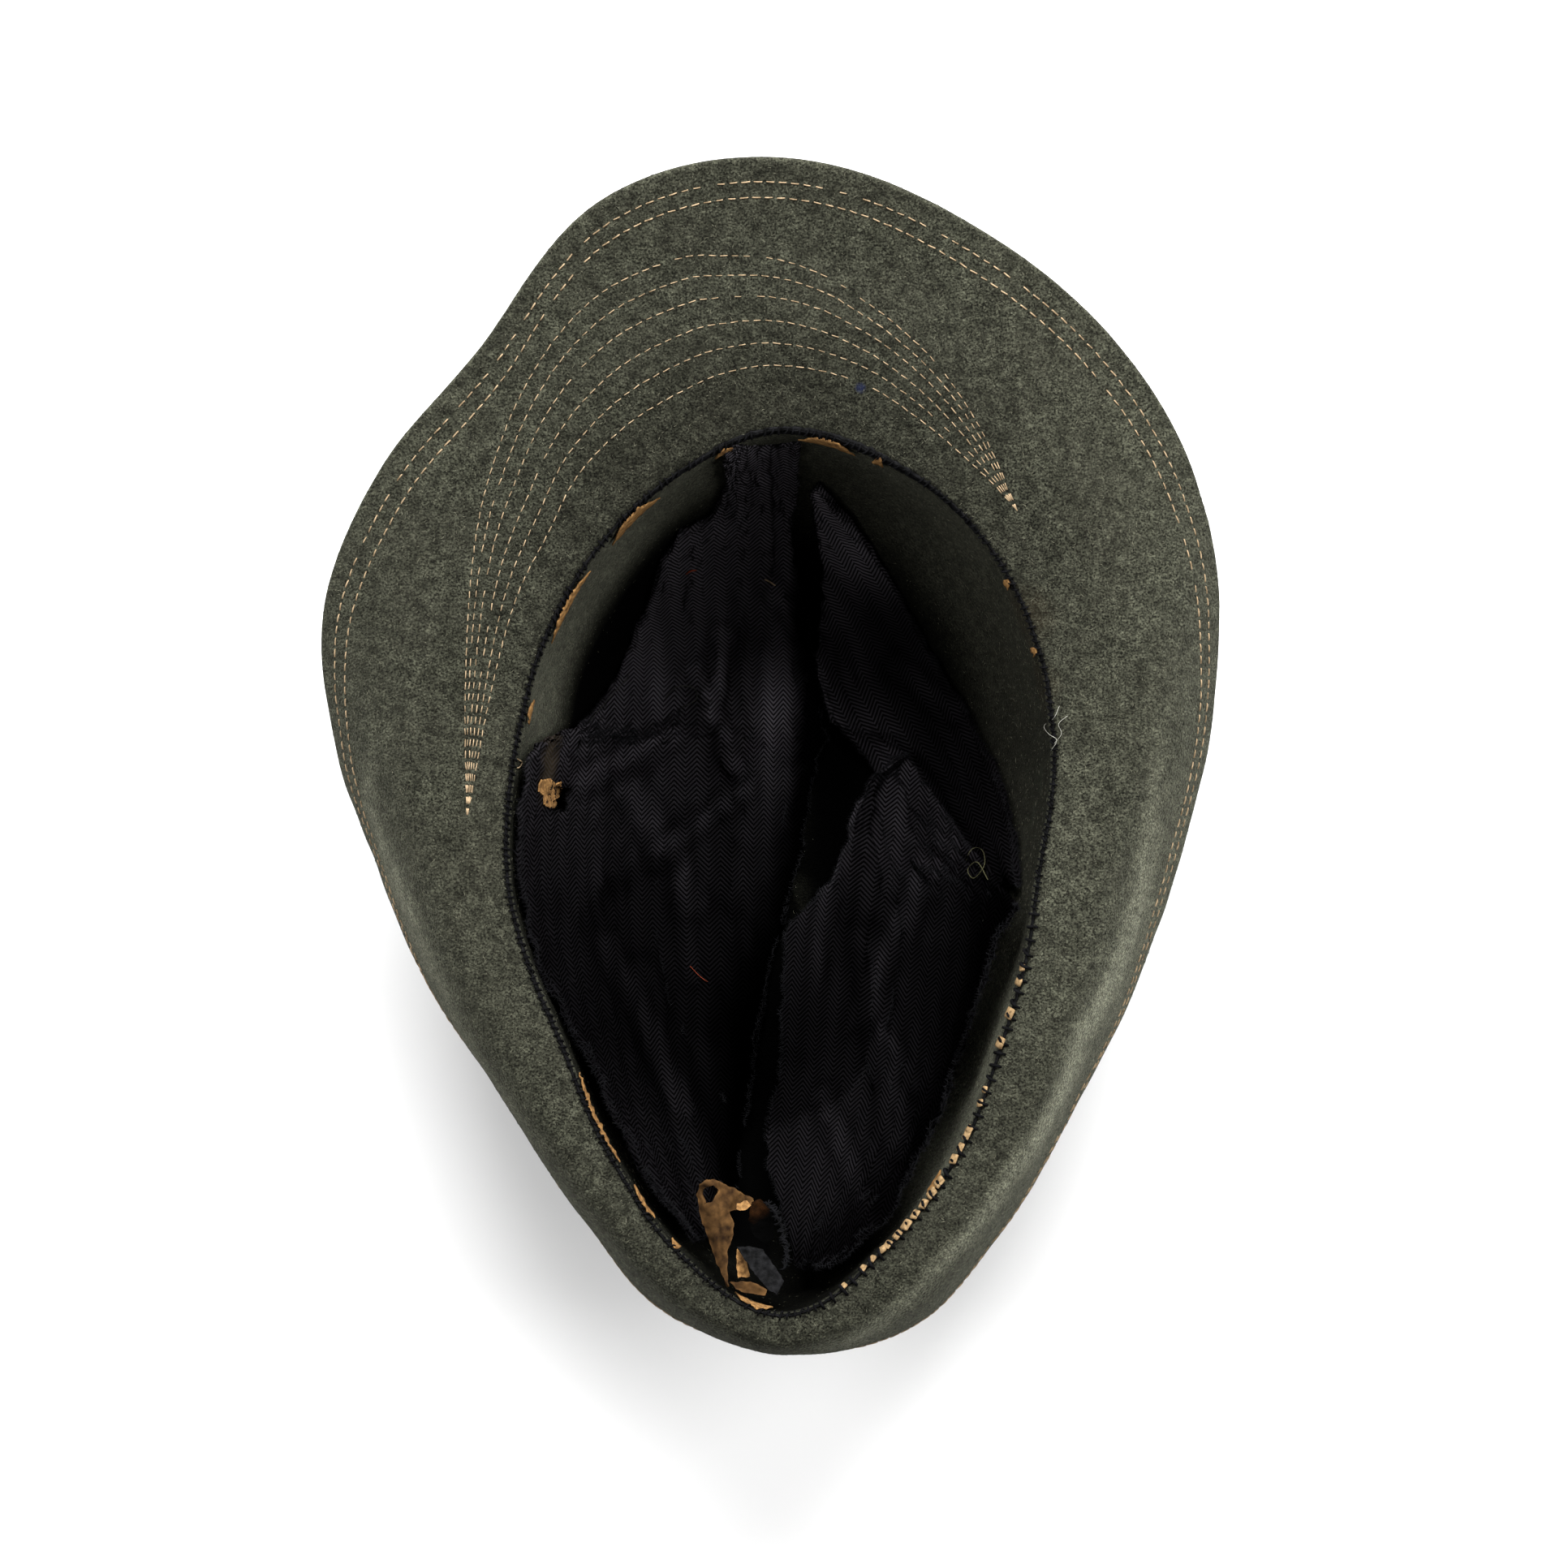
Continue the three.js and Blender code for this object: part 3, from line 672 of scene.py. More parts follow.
def scattered(name, ground, piece, material, count, seed):
    """About that many copies of a small piece all over a surface."""
    shape = make_mesh(name + "_piece", *piece, material)
    area = sum(face.area for face in ground.data.polygons)
    values = {"Piece": shape, "Per Area": count / area, "Seed": seed, "Material": material}
    done = applied(ground, SCATTER, values, name)
    bpy.data.objects.remove(shape)
    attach(done, "root")


scattered("pale_fibres", felt_body, fibre(1.9, 0.05, 0.35), pale_wool, 32000, 11)
scattered("pale_fibres_short", felt_body, fibre(1.2, 0.05, 0.2), pale_wool, 32000, 13)
scattered("dark_fibres", felt_body, fibre(1.7, 0.07, 0.3), dark_wool, 32000, 12)


# The outermost and innermost of the six curved rows on the front brim, and where the rows between them lie.
OUTER_ROW = [
    (-77.9, 14.4), (-78.3, 40.4), (-77.3, 66.3), (-75.1, 84.9), (-71.4, 99.6), (-65, 115.7), (-55.3, 131.1),
    (-42.7, 142.7), (-25.8, 149.8), (-15.5, 150.6), (-1.6, 149.8), (10.7, 145.6), (18.5, 140.7), (26.5, 135),
    (37.5, 124.7), (46.9, 111.4), (53.3, 98.9), (57.3, 89.3),
]
INNER_ROW = [
    (-77.5, 14.4), (-72.3, 42.4), (-65.9, 66.4), (-57.7, 83.3), (-50.3, 97.5), (-37.7, 110.1), (-23, 118.8),
    (-13.4, 122.6), (-3, 124.2), (9.2, 122.9), (21.8, 118.7), (34.4, 110.3), (44, 102.3), (51.9, 94.9),
    (56.9, 89.3),
]
ROW_SHARES = (0, 0.17, 0.36, 0.58, 0.79, 1)


def smooth_path(points, count):
    """Evenly spaced places on a smooth line through the points."""
    pts = [Vector(p) for p in points]
    pts = [pts[0] * 2 - pts[1], *pts, pts[-1] * 2 - pts[-2]]
    fine = []
    for i in range(1, len(pts) - 2):
        for k in range(12):
            t = k / 12
            a, b, c, d = pts[i - 1:i + 3]
            second, third = 2 * a - 5 * b + 4 * c - d, 3 * b - a - 3 * c + d
            fine.append(0.5 * (2 * b + (c - a) * t + second * t * t + third * t ** 3))
    fine.append(pts[-2])
    lengths = np.cumsum([0] + [(q - p).length for p, q in zip(fine, fine[1:])])
    wanted = np.linspace(0, lengths[-1], count)
    axes = range(len(fine[0]))
    return [Vector([np.interp(w, lengths, [p[k] for p in fine]) for k in axes]) for w in wanted]


def front_rows():
    outer, inner = smooth_path(OUTER_ROW, 220), smooth_path(INNER_ROW, 220)
    return [[on_felt(*(a + (b - a) * share)) for a, b in zip(outer, inner)] for share in ROW_SHARES]


repeated("edge_stitches", [edge_row(5), edge_row(9)], stitch(2.2, 0.18), tan_thread, 3)
repeated("front_stitches", front_rows(), stitch(2.0, 0.13), tan_thread, 2.8)


# Torn sheets

def refined(node, material, shape, tone, weave):
    """A finer, rounded copy of a faceted piece: points moved by shape, painted light for each point and a
    place in the weave.
    """
    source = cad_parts[node]
    mesh = source.data.copy()
    mesh.materials.clear()
    mesh.materials.append(material)
    edit = bmesh.new()
    edit.from_mesh(mesh)
    bmesh.ops.remove_doubles(edit, verts=edit.verts, dist=2e-6)
    bmesh.ops.join_triangles(edit, faces=edit.faces, angle_face_threshold=math.radians(60),
                             angle_shape_threshold=math.radians(70))
    bmesh.ops.recalc_face_normals(edit, faces=edit.faces)
    crease = edit.edges.layers.float.new("crease_edge")
    for edge in edit.edges:
        if len(edge.link_faces) == 2 and edge.calc_face_angle() > SHARP:
            edge[crease] = 1
    edit.to_mesh(mesh)
    edit.free()
    rough = placed(node + "_rough", mesh)
    modifier = rough.modifiers.new("smooth", "SUBSURF")
    modifier.levels = modifier.render_levels = 2
    done = evaluated(rough, node + "_look")
    bpy.data.objects.remove(rough)
    tones = [tone(v.co / MM) for v in done.vertices]
    done.attributes.new("tone", "FLOAT", "POINT").data.foreach_set("value", tones)
    for v in done.vertices:
        v.co = shape(v.co / MM) * MM
    threads = [c for v in done.vertices for c in weave(v.co / MM) * MM]
    done.attributes.new("weave", "FLOAT_VECTOR", "POINT").data.foreach_set("vector", threads)
    done.set_sharp_from_angle(angle=SHARP)
    piece = placed(node + "_look", done)
    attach(piece, "root")
    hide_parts(node)
    return piece


# Folds of the lining: from, to (both counted from the crown's axis), half width and height in mm.
FOLDS = [
    ((-16, 60.7), (-19.8, 39.5), 2.2, 2.4), ((-2.1, 71.4), (7.4, 58.6), 2, 2),
    ((-37.8, -28.5), (-18.1, -86), 3, 3), ((-40, 20), (-24, -10), 3, 1.6), ((22, -20), (30, -70), 3, 2),
    ((38, 0), (20, -40), 2.5, 1.6), ((10, -60), (22, -88), 2.2, 1.8), ((-52, 22), (-30, 34), 2.5, 2),
    ((-34, 2), (-10, 20), 2.2, 2), ((-46, -20), (-26, -62), 2.2, 1.8), ((-28, 8), (-24, -30), 2, 1.6),
    ((30, 52), (44, 40), 2.2, 1.8), ((14, 8), (8, -30), 1.8, 1.4), ((26, -44), (34, -56), 1.6, 1.2),
    ((-43.4, -5.8), (-29.8, 0.4), 1.6, -1.6), ((-29.8, 0.4), (-25, 13), 1.4, -1.4),
    ((-50, -14), (-43.4, -5.8), 1.5, -1), ((-24, 52), (-12, 24), 1.8, 1.6),
]
SEAM = ((-3.6, 107), (-2, 79))


def on_segment(place, start, end):
    """How far along a segment the nearest point lies, from 0 to 1, and how far away it is."""
    start, end = Vector(start), Vector(end)
    t = min(max((place - start).dot(end - start) / (end - start).length_squared, 0), 1)
    return t, (place - start.lerp(end, t)).length


def rumpled(p):
    """Folds, creases and ragged edges of thin old cotton."""
    place = from_axis(p)
    lift = noise.noise(Vector((p.x / 7, p.y / 22, p.z / 22)))
    lift += noise.noise(p / 3.2 + Vector((5, 5, 5))) * 0.4
    for start, end, width, height in FOLDS:
        t, away = on_segment(place, start, end)
        lift += height * math.exp(-((away / width) ** 2)) * (0.35 + math.sin(math.pi * t) * 0.65)
    torn = Vector((noise.noise(p / 1.1), noise.noise(p / 1.1 + Vector((9, 0, 0))), 0)) * 0.9
    torn += Vector((noise.noise(p / 4 + Vector((2, 2, 2))), noise.noise(p / 4), 0)) * 1.1
    turn = math.degrees(math.atan2(place.y, place.x))
    inside = mouth_at(turn) - place.length
    off = 4 * smooth_step(14, 5, inside) * smooth_step(-76, -64, turn) * smooth_step(-8, -22, turn)
    up = smooth_step(98, 105, place.y)
    return p + Vector((0, 1.8 * up, lift + 4.5 * up)) + torn - Vector((*place.normalized(), 0)) * off


# Where painted shade falls in the valley beside the left panel: y, its middle x and half width in mm, counted
# from the crown's axis.
VALLEY = [
    (-97, -17, 3), (-85, -13, 7), (-65, -11, 10), (-40, -7, 12), (-17, 0, 9), (22, 7, 8), (45, 8, 6),
    (65, 4, 3), (100, 6, 1),
]


# Painted light of each panel along the hat: y from the crown's axis, then the left panel, the strip and the
# flap.
PANEL_PAINTED_LIGHT = [
    (-100, 0.3, 0.6, 0.34), (-78, 0.2, 0.6, 0.34), (-40, 0.1, 0.6, 0.18), (-10, 0.22, 0.6, 0.27),
    (14, 0.55, 0.6, 0.85), (28, 0.8, 0.7, 1.1), (48, 1.7, 0.9, 1.1), (62, 1.6, 1.6, 1), (74, 1.9, 3, 1),
    (84, 2.6, 5, 1), (100, 3.2, 6, 1),
]


def cloth_tone(p, column):
    """Lighter and darker in streaks, with painted highlights on the folds, painted shade at their feet and
    painted light along the hat.
    """
    place = from_axis(p)
    streaks = noise.noise(Vector((p.x / 9, p.y / 26, 3))) + 0.6 * noise.noise(Vector((p.x / 4, p.y / 9, 8)))
    tone = max(0.35, 1 + 0.35 * streaks) * along_table(PANEL_PAINTED_LIGHT, place.y, column)
    # A painted highlight on each fold's ridge, or painted shade in a crease, and painted shade at its foot.
    for start, end, width, height in FOLDS:
        away = on_segment(place, start, end)[1] / width
        ridge, foot = math.exp(-away * away), math.exp(-((away - 1.7) ** 2) * 3)
        tone *= 1 + 0.5 * math.copysign(1, height) * ridge - 0.35 * foot
    seam = on_segment(place, *SEAM)[1]
    return tone * (1 - 0.75 * math.exp(-((seam / 0.4) ** 2)))


def left_tone(p):
    """Painted shade: the left panel is painted darker towards the valley, where it goes down."""
    x, y = from_axis(p)
    away = (along_table(VALLEY, y, 1) - x) / along_table(VALLEY, y, 2)
    return cloth_tone(p, 1) * (0.02 + 0.98 * smooth_step(0.1, 1.7, away))


def strip_tone(p):
    """Painted light and shade: the strip is lightest at its tip and its torn left edge, and in painted shade
    along its straight right edge.
    """
    x, y = from_axis(p)
    right_edge = 24.4 + 0.46 * (62.4 - y)
    return cloth_tone(p, 2) * (0.3 + 0.9 * max(smooth_step(0, 14, right_edge - x), smooth_step(66, 82, y)))


def flap_tone(p):
    """Painted shadow: the flap is painted darker towards the wall on its right, where it goes down."""
    x, y = from_axis(p)
    wall = mouth_at(math.degrees(math.atan2(y, x)))
    return cloth_tone(p, 3) * (1 - 0.9 * smooth_step(wall - 24, wall - 7, math.hypot(x, y)))


def cut_edges(thing):
    """Each uncovered edge of a sheet between its seen side and its cut, as a short path for repeated()."""
    edit = bmesh.new()
    edit.from_mesh(thing.data)
    paths = []
    for edge in edit.edges:
        if len(edge.link_faces) == 2 and edge.calc_face_angle() > math.radians(55):
            up = max((face.normal for face in edge.link_faces), key=lambda n: n.z)
            middle = (edge.verts[0].co + edge.verts[1].co) / (2 * MM)
            over = on_top(*from_axis(middle), 0)
            if up.z > 0.35 and over.z - middle.z < 1.3:
                paths.append([(v.co / MM, up.copy()) for v in edge.verts])
    edit.free()
    return paths


def strand(length, radius, bend=0.3):
    """A thin bent thread that lies across its path."""
    path = [Vector((bend * length * a * a, length * a, radius)) for a in (-0.6, -0.2, 0.2, 0.6)]
    return tube(path, radius, 3, 0.5)


def weave_place(turn):
    """Where a panel's point lies in the flat cloth, in mm: cloth up a wall is laid out beside its foot."""
    along = Vector((math.cos(math.radians(turn)), math.sin(math.radians(turn))))

    def place(p):
        x, y = from_axis(p)
        ahead = smooth_step(45, 75, y)
        aside = max(-1.0, min(1.0, x / 20)) * (1 - ahead)
        flat = Vector((x + 0.15 * p.z * aside, y + 0.3 * p.z * ahead))
        return Vector((flat.dot(along), flat.dot(along.orthogonal()), 0))

    return place


# Each lining panel: its painted light and shade, the turn of its weave, its flat size in mm and its flat area
# in mm2 before it sagged, and what it lies on.
LININGS = [
    ("lining_left", left_tone, 0, (152, 289), 21600, ["felt_body_look"]),
    ("lining_strip", strip_tone, 26, (70, 150), 4740, ["felt_body_look"]),
    ("lining_flap", flap_tone, -6, (134, 238), 13100, ["felt_body_look", "lining_left_look"]),
]
surfaces = [felt_surface]


def on_top(x, y, lift=0.2):
    """A place just above whatever lies uppermost there, counted from the crown's axis, in mm."""
    start = on_axis(x, y, 300) * MM
    hits = [tree.ray_cast(start, Vector((0, 0, -1)))[0] for tree in surfaces]
    return on_axis(x, y, max(hit.z for hit in hits if hit) / MM + lift)


panels = []
for node, tone, turn, (wide, long), area, under in LININGS:
    panel = refined(node, cotton, rumpled, tone, weave_place(turn))
    surfaces.append(surface_tree(panel))
    panels.append(panel)
for panel in panels:
    fray = strand(1.7, 0.055)
    repeated(panel.name + "_fray", cut_edges(panel), fray, cotton_fray, 0.45, 1.3, 0.1)
    scattered(panel.name + "_lint", panel, fibre(0.9, 0.06, 0.2), grey_thread, 90, 21)


# The sweatband's remains along the mouth

def band_point(degrees, across, lift):
    """A place in mm over the sewn strip, and its normal. Across is 0 at its lower edge and 1 at its outer."""
    def place(a, c):
        t = 0.15 + 0.6 * c
        return felt_point(a, "break", t) if t >= 0 else felt_point(a, "wall", 1 + 0.07 * t)
    p = place(degrees, across)
    up = place(degrees, across + 0.05) - place(degrees, across - 0.05)
    up = up.cross(place(degrees + 0.4, across) - p).normalized()
    return wavy(p, up) + up * lift, up


def ragged(degrees, seed, size):
    """A torn edge's waver at an angle, slow and quick, up to about the size."""
    slow = noise.noise(Vector((degrees * 1.3, seed, 0)))
    quick = noise.noise(Vector((degrees * 4, seed, 5)))
    return size * slow + size * 0.5 * quick


def band_sheet(start, end, low, high, lift, thickness, closed=False, ends=1.0, rough=0.14):
    """A torn strip over the band between two angles. It narrows to a point at both ends unless ends is 0."""
    count = max(6, int(abs(end - start) * 2.5))
    angles = [start + (end - start) * k / (count if closed else count - 1) for k in range(count)]
    rows = []
    for i in range(5):
        row = []
        for k, angle in enumerate(angles):
            taper = 1 - ends * abs(2 * k / (count - 1) - 1) ** 3
            bottom = low + ragged(angle, 2, rough)
            top = bottom + (high + ragged(angle, 7, rough) - bottom) * max(taper, 0.12)
            across = bottom + (top - bottom) * i / 4
            row.append(band_point(angle, across, lift + ragged(angle, 11 + i, 0.1))[0])
        rows.append(row)
    return sheet(rows, thickness, closed)


def band_path(start, end, across, lift, phase):
    """The line along the band between two angles, as repeated() takes it."""
    count = int((end - start) * 1.5) + 2
    return [band_point(start + phase + (end - start) * k / (count - 1), across, lift) for k in range(count)]


# Where tan leather is left: from and to angle, and from and to across the band.
LEFT_TAN = [
    (80, 88, -0.75, 0.25), (96.5, 99.5, -0.4, 0.2), (76, 77.5, -0.3, 0.5), (108.5, 118, -1.1, 0.2),
    (123, 136, -0.5, 0.2), (146, 150.5, -0.5, 0), (51, 52.5, -0.2, 0.4), (40, 41.5, -0.2, 0.4),
    (224.5, 240.5, -0.15, 0.25), (244.3, 249.5, -0.2, 0.25), (253, 254.6, -0.2, 0.5),
    (263.4, 268.6, -0.35, 0.3), (-65.8, -62.2, -0.5, 0.25),
]

strips = [band_sheet(0, 360, 0.34, 0.56, 0.6, 0.35, True, 0), band_sheet(60, 112, 0.05, 0.78, 0.5, 0.3)]
band = joined("sweatband_strip_look", strips, black_leather)
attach(band, "root")
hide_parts("sweatband_strip")
bits = [band_sheet(*bit, 1.0, 0.3, rough=0.35) for bit in LEFT_TAN]
tan_bits = joined("sweatband_tan_bits", bits, tan_leather)
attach(tan_bits, "root")


def overcast(length, radius, slant):
    """A thread sewn over the band's edge, across its path."""
    heights = ((-0.5, -3.2), (-0.38, 0.2), (-0.1, 1.1), (0.2, 1.0), (0.4, 0), (0.52, -3))
    return tube([Vector((slant * a * length, length * a, radius * h)) for a, h in heights], radius, 5, 0.8)


def square(long, wide, high):
    """A bit of leather that bulges between two stitches."""
    bulge = lambda u, v: high * (1 - (2 * u - 1) ** 4) * (1 - (2 * v - 1) ** 4)
    rows = [[Vector((long * (u - 0.5), wide * (0.5 - v), bulge(u, v))) for u in (0, 0.15, 0.85, 1)]
            for v in (1, 0.85, 0.15, 0)]
    return sheet(rows, 0.3)


# What is sewn along the band: name, slot, spans in degrees, place across, lift in mm, degrees moved on,
# piece, material, pitch in mm, swing and share of gaps.
SEWN = [
    ("overcast_stitches", "leather_dark", [(-10, 275)], 0.44, 0.8, 0,
     overcast(2.1, 0.24, 0.35), black_thread, 1.7, 0.35, 0.06),
    ("overcast_stitches_wide", "leather_dark", [(275, 350)], 0.44, 0.8, 0,
     overcast(2.8, 0.42, 0.2), black_thread, 3.2, 0.35, 0.03),
    ("overcast_fuzz", "leather_dark", [(0, 360)], 0.55, 0.9, 0,
     strand(1.9, 0.045), black_thread, 0.6, 1.0, 0.3),
    ("sweatband_tan_squares", "leather_tan", [(285, 304), (318, 327)], 0.42, 0.8, 0.8,
     square(2.4, 2.4, 0.35), pale_leather, 3.3, 0.35, 0.35),
    ("sweatband_tan_squares_few", "leather_tan", [(276, 284), (305, 317), (328, 337)], 0.42, 0.8, 0.8,
     square(1.7, 1.9, 0.35), pale_leather, 3.2, 0.5, 0.55),
]
for name, slot, spans, across, lift, phase, piece, material, pitch, swing, gaps in SEWN:
    paths = [band_path(*span, across, lift, phase) for span in spans]
    repeated(name, paths, piece, material, pitch, swing, gaps)

# Torn ends of the sweatband at the back, hanging free. Outlines in plan, in mm from the crown's axis.
CURL_OUTLINE = [
    (-20.6, -77.6), (-18.9, -76.6), (-17.1, -76.6), (-15.6, -77.2), (-12.4, -78.9), (-9.3, -80.8),
    (-7.6, -81.6), (-7.6, -83), (-11, -84.5), (-13.3, -84.7), (-12.2, -87.4), (-12.6, -91.4), (-13.6, -93.6),
    (-13.8, -99.6), (-13.3, -103), (-14.5, -101.4), (-16.3, -97.4), (-18.6, -91.4), (-20.6, -85.4),
    (-21.4, -80.4),
]
CURL_HOLE = [(-20.3, -79.1), (-17.4, -78), (-16, -79.3), (-17.6, -82), (-19.5, -83)]
SHRED_OUTLINE = [
    (-8, -82.4), (-5.6, -81.8), (-3.6, -83.6), (-2.4, -86.6), (-2.3, -91.6), (-4.6, -92.6), (-7.3, -91),
    (-8.6, -87),
]
FLAP_OUTLINE = [
    (-11.4, -93.2), (-8.2, -93), (-5, -93.8), (-2.4, -97.6), (0.2, -101.6), (-1.6, -105), (-3.6, -103.6),
    (-6.2, -100.8), (-9.4, -96.6),
]
TONGUE_OUTLINE = [
    (-11.4, -93.9), (-10.1, -95.6), (-8.6, -98.6), (-8.3, -100.8), (-11.2, -101), (-11.6, -97.4),
]
FOOT_OUTLINE = [(-13, -101.8), (-8, -101.6), (-4, -103.6), (-4.4, -105), (-9.3, -104.6), (-11.6, -103.4)]
NUB_OUTLINE = [(-11.4, -82.6), (-9, -81.8), (-8, -83), (-9.6, -84.4), (-11.6, -84)]


def cut_piece(name, outline, height, thickness, material, hole=(), shade=lambda x, y: 0.0, rim=-0.5):
    """A torn scrap from its outline in plan, with a height in mm and a shade for each place."""
    edit = bmesh.new()
    layer = edit.verts.layers.float.new("shade")
    for ring in (outline, hole):
        corners = [edit.verts.new((*place, 0)) for place in ring]
        for k, corner in enumerate(corners):
            edit.edges.new((corner, corners[(k + 1) % len(corners)]))
    bmesh.ops.triangle_fill(edit, use_beauty=True, edges=edit.edges[:], normal=(0, 0, 1))
    for _ in range(4):
        long = [edge for edge in edit.edges if edge.calc_length() > 0.7]
        bmesh.ops.subdivide_edges(edit, edges=long, cuts=1)
        bmesh.ops.triangulate(edit, faces=[face for face in edit.faces if len(face.verts) > 3])
    rims = [(a, ring[(k + 1) % len(ring)]) for ring in (outline, hole) for k, a in enumerate(ring)]
    for v in edit.verts:
        x, y = v.co.x, v.co.y
        away = min(on_segment(Vector((x, y)), a, b)[1] for a, b in rims)
        v[layer] = shade(x, y) + rim * (1 - smooth_step(0, 0.7, away))
        rough = Vector((noise.noise(v.co / 1.4), noise.noise(v.co / 1.4 + Vector((4, 4, 4))), 0)) * 0.35
        v.co = (on_axis(x, y, height(x, y) + 0.3 * noise.noise(Vector((x, y, 9)) / 2)) + rough) * MM
    mesh = bpy.data.meshes.new(name + "_rough")
    bmesh.ops.recalc_face_normals(edit, faces=edit.faces)
    if sum(face.normal.z for face in edit.faces) < 0:
        bmesh.ops.reverse_faces(edit, faces=edit.faces)
    edit.to_mesh(mesh)
    edit.free()
    mesh.materials.append(material)
    rough = placed(name + "_rough", mesh)
    modifier = rough.modifiers.new("thick", "SOLIDIFY")
    modifier.thickness, modifier.offset = thickness * MM, -1
    done = evaluated(rough, name)
    bpy.data.objects.remove(rough)
    done.set_sharp_from_angle(angle=SHARP)
    piece = placed(name, done)
    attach(piece, "root")
    return piece


def curl_height(x, y):
    """A cone of leather that rises towards its tip at the mouth, with its upper end rolled over."""
    s = (-y - 77) / 26
    middle, half = -17.2 + 3.2 * s, 5.2 * (1 - s) + 1.2
    bow = 3.2 * (1 - s * 0.6) * (1 - min(abs(x - middle) / half, 1.4) ** 2)
    rolled = 2.2 * math.exp(-((y + 77.6) / 1.3) ** 2) * math.exp(-((x + 18.4) / 3) ** 2)
    return 98.5 + 5.5 * s + bow + rolled


def curl_shade(x, y):
    """Painted shade down its left side, where it bends down, and along a crease down its middle; it is also
    darker towards its tip.
    """
    s = (-y - 77) / 26
    crease = on_segment(Vector((x, y)), (-16, -83), (-14.9, -96))[1]
    left = smooth_step(-16.5 + 3 * s, -20.5 + 5 * s, x)
    return 0.35 * left + 0.45 * math.exp(-((crease / 0.35) ** 2)) + 0.25 * s - 0.1


def shred_shade(x, y):
    """Black towards its lower left."""
    return smooth_step(0, 7, (x + 8) * 0.6 - (y + 82.5)) * 1.05


def flap_height(x, y):
    """It slopes down towards the front and both sides."""
    return 105.5 - 0.12 * (y + 99) - 0.056 * (x + 6) ** 2


def flap_shade(x, y):
    """Mottled by cracks in the grain."""
    return 0.6 * noise.noise(Vector((x, y, 0)) / 1.2) - 0.15


curl = cut_piece("sweatband_curl_look", CURL_OUTLINE, curl_height, 0.8, aged_leather, CURL_HOLE, curl_shade)
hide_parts("sweatband_curl")
shred = cut_piece("sweatband_shred_look", SHRED_OUTLINE, lambda x, y: 101 + 0.28 * (y + 84), 0.8,
                  rust_leather, shade=shred_shade, rim=0.2)
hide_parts("sweatband_shred")
flap = cut_piece("sweatband_flap_look", FLAP_OUTLINE, flap_height, 0.7, black_leather,
                 shade=flap_shade, rim=-0.2)
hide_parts("sweatband_flap")
for name, outline, level, kind in (
    ("curl_tongue", TONGUE_OUTLINE, 101.5, tan_leather),
    ("curl_foot", FOOT_OUTLINE, 105.4, aged_leather),
    ("curl_nub", NUB_OUTLINE, 103, tan_leather),
):
    cut_piece(name, outline, lambda x, y: level + 0.4 * math.sin(x), 0.6, kind)

PATCH_OUTLINE = [
    (-60.6, 22.2), (-58.8, 22.6), (-57.6, 21), (-56.6, 21.6), (-56.9, 19), (-58, 17.4), (-58.6, 14.8),
    (-60, 15.6), (-60.2, 18), (-61.2, 19.4),
]
patch = cut_piece("sweatband_patch_look", PATCH_OUTLINE, lambda x, y: on_top(x, y, 1.4).z, 0.4, tan_leather)
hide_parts("sweatband_patch")

# A tuft of black wadding beside the curl
TUFT = [(-3.8, -82.6), (-2, -84.6), (-0.6, -88), (0.4, -92), (1, -95.6), (0.2, -98.6)]
tuft_path = [(on_axis(p.x, p.y, 103), Vector((0, 0, 1))) for p in smooth_path([(*q, 0) for q in TUFT], 30)]
tuft_strand = strand(2.0, 0.34, 0.9)
repeated("wadding_tuft", [tuft_path], tuft_strand, black_thread, 0.34, 3.1, 0.15)

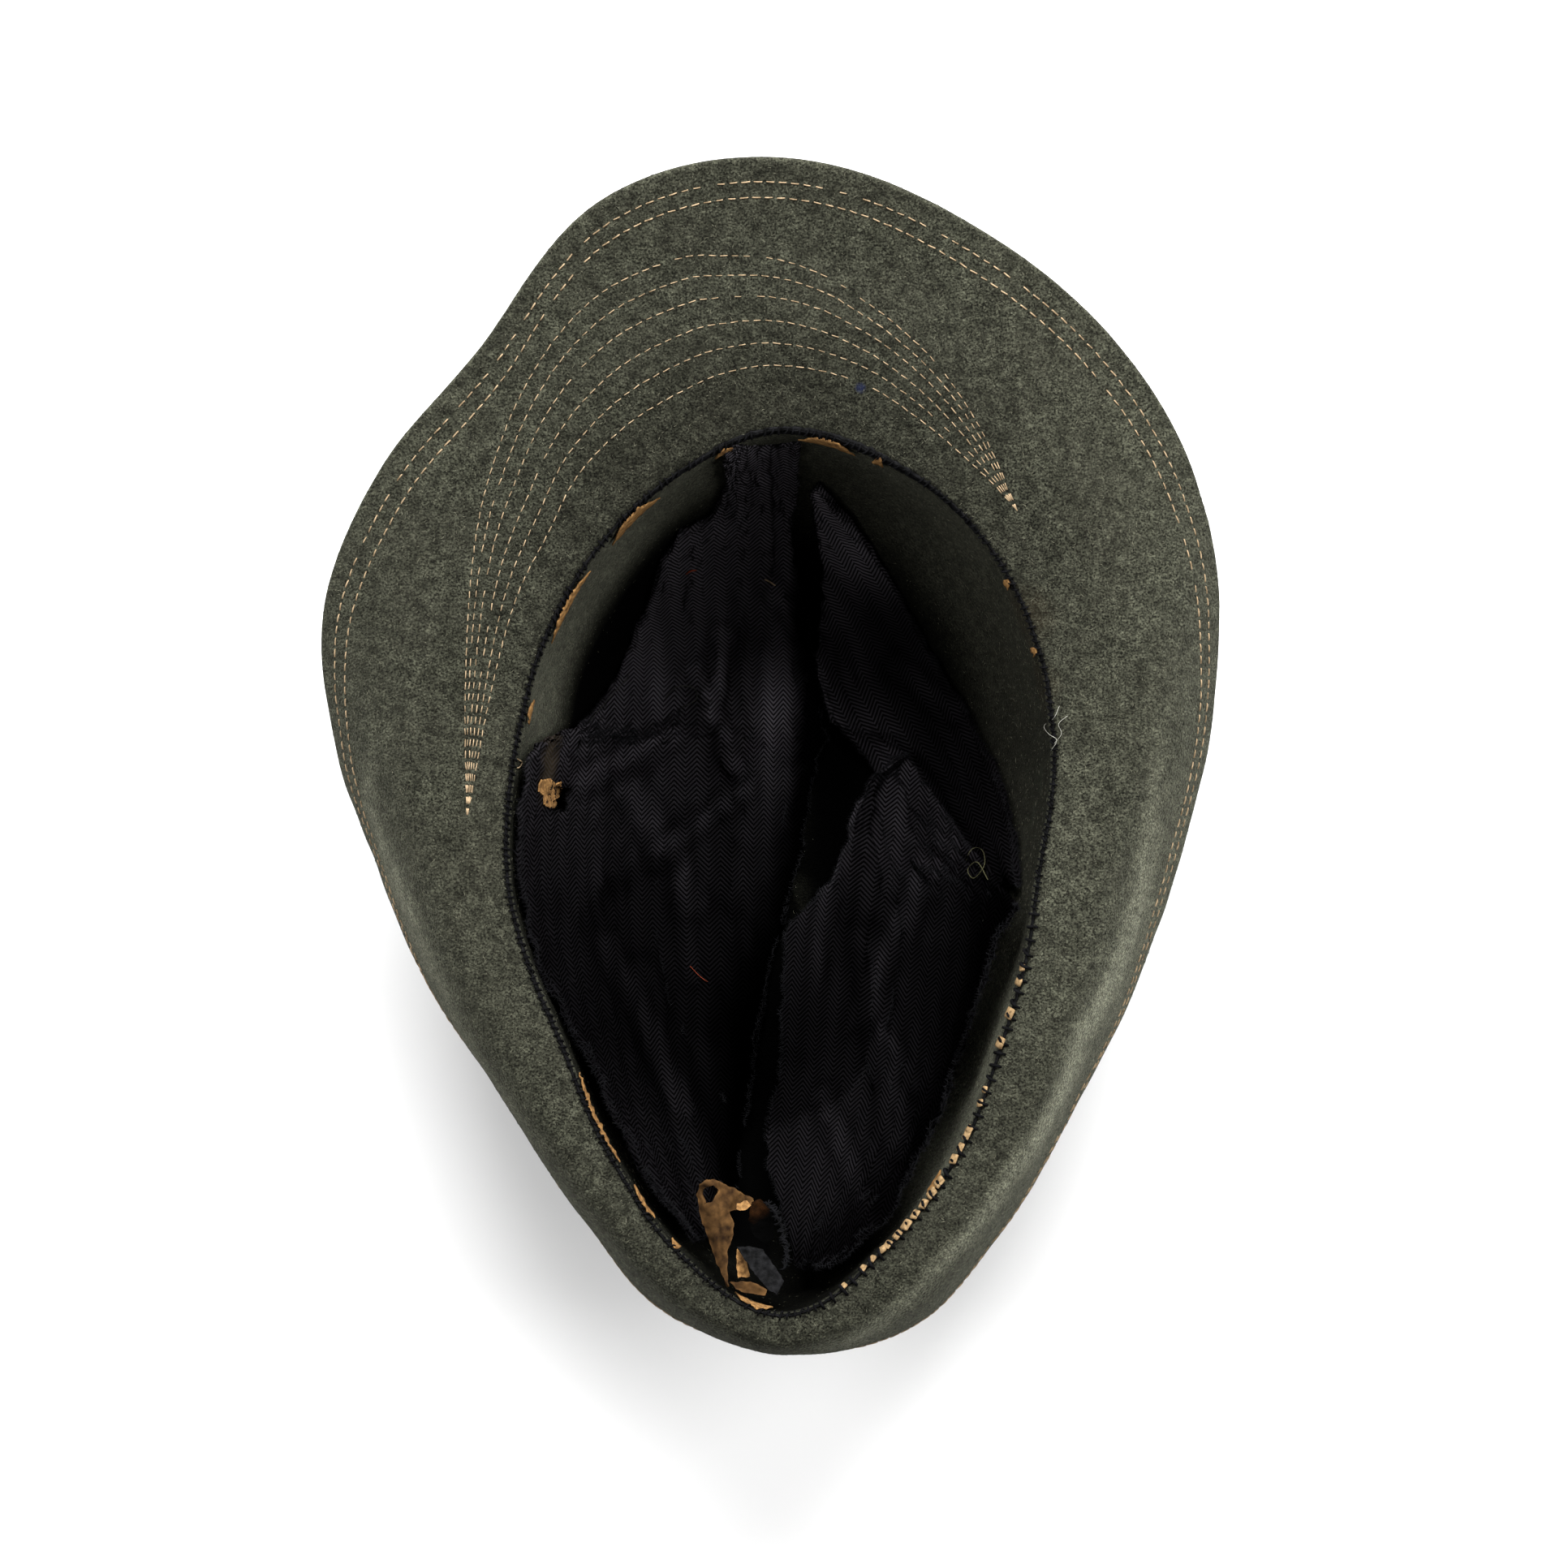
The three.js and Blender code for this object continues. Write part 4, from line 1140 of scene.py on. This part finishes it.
# Loose threads: material, radius and places from the crown's axis in mm, each with how far the thread stands
# off what lies below it.
LOOSE = [
    (white_thread, 0.06, [(68, 40.4, 1.5), (66.6, 37.4, 2), (64.7, 35.6, 4), (65.5, 33.5, 4), (67.4, 32, 1.5),
                          (66, 29.4, 3)]),
    (white_thread, 0.05, [(70, 38, 1), (67.8, 36, 1.8), (68.5, 33.6, 1.2), (66.8, 31.2, 2.5)]),
    (olive_thread, 0.15, [(47.2, 1.5, 0.5), (48.6, 4.5, 1.5), (51.5, 4, 0.7), (51.2, 0.5, 1),
                          (48.8, -2.9, 0.4), (47.4, -0.9, 1.2), (49.6, 1.2, 1.6), (51.8, -3, 0.4)]),
    (grey_thread, 0.13, [(-31.1, 43.9, 0.4), (-27.9, 46.9, 1.2), (-23.6, 46.5, 0.5), (-23, 43.5, 1),
                         (-26.8, 41.4, 0.4)]),
    (grey_thread, 0.09, [(-50.3, 37.1, 0.5), (-46.5, 41.9, 0.6), (-43.4, 45.8, 0.5), (-41, 48.4, 0.6),
                         (-40.3, 50.1, 0.4)]),
    (tan_thread, 0.15, [(-65.6, 27.4, 1.5), (-64.8, 26.5, 2), (-65.5, 25.2, 1.6), (-66.4, 25.6, 1.2)]),
    (rust_thread, 0.12, [(-24.6, -26.8, 0.4), (-22.1, -29.4, 0.8), (-19.9, -31, 0.4)]),
    (tan_thread, 0.2, [(-4.9, 74.9, 0.5), (-3.6, 74.3, 0.9), (-2.1, 73.3, 0.5)]),
    (rust_thread, 0.25, [(-25.4, 75.8, 0.4), (-24, 76.6, 0.7), (-22.6, 76.9, 0.4)]),
]
for count, (material, radius, places) in enumerate(LOOSE):
    path = smooth_path([on_top(*place) for place in places], 8 * len(places))
    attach(joined(f"loose_thread_{count}", [tube(path, radius, 6)], material), "root")


# Camera, light and floor

def area_light(name, place, size, power):
    """A soft box at a place in metres, turned towards the hat."""
    light = bpy.data.lights.new(name, "AREA")
    light.shape = "RECTANGLE"
    light.size, light.size_y = size
    light.energy = power
    thing = placed(name, light)
    thing.location = place
    thing.rotation_euler = (Vector((0, 0, 0.05)) - Vector(place)).to_track_quat("-Z", "Y").to_euler()


def build_stage():
    # White card under the hat, as in the photograph.
    paper, _, shader = new_material("white_card", 0.9, 0.25)
    shader.inputs["Base Color"].default_value = (0.78, 0.78, 0.78, 1)
    s = FLOOR_HALF
    floor = make_mesh("floor", [(-s, -s, 0), (s, -s, 0), (s, s, 0), (-s, s, 0)], [(0, 1, 2, 3)], paper, False)
    area_light("left_box", (-1.0, 0.1, 0.9), (0.8, 1.0), 15)
    area_light("right_box", (1.0, 0.1, 0.9), (0.8, 1.0), 18)
    area_light("front_box", (0.06, 1.0, 1.2), (1.2, 0.6), 69)
    world = bpy.data.worlds.new("soft_room")
    world.use_nodes = True
    light = world.node_tree.nodes["Background"].inputs
    light["Color"].default_value = (1, 1, 1, 1)
    light["Strength"].default_value = 0.22
    bpy.context.scene.world = world
    bpy.context.scene.view_settings.view_transform = "Standard"
    lens = bpy.data.cameras.new("camera")
    lens.lens = lens.sensor_width * CAMERA_AWAY / FRAME_WIDE
    lens.clip_start, lens.clip_end = 0.05, 20
    camera = placed("camera", lens)
    camera.location = CAMERA_PLACE
    bpy.context.scene.camera = camera


build_stage()
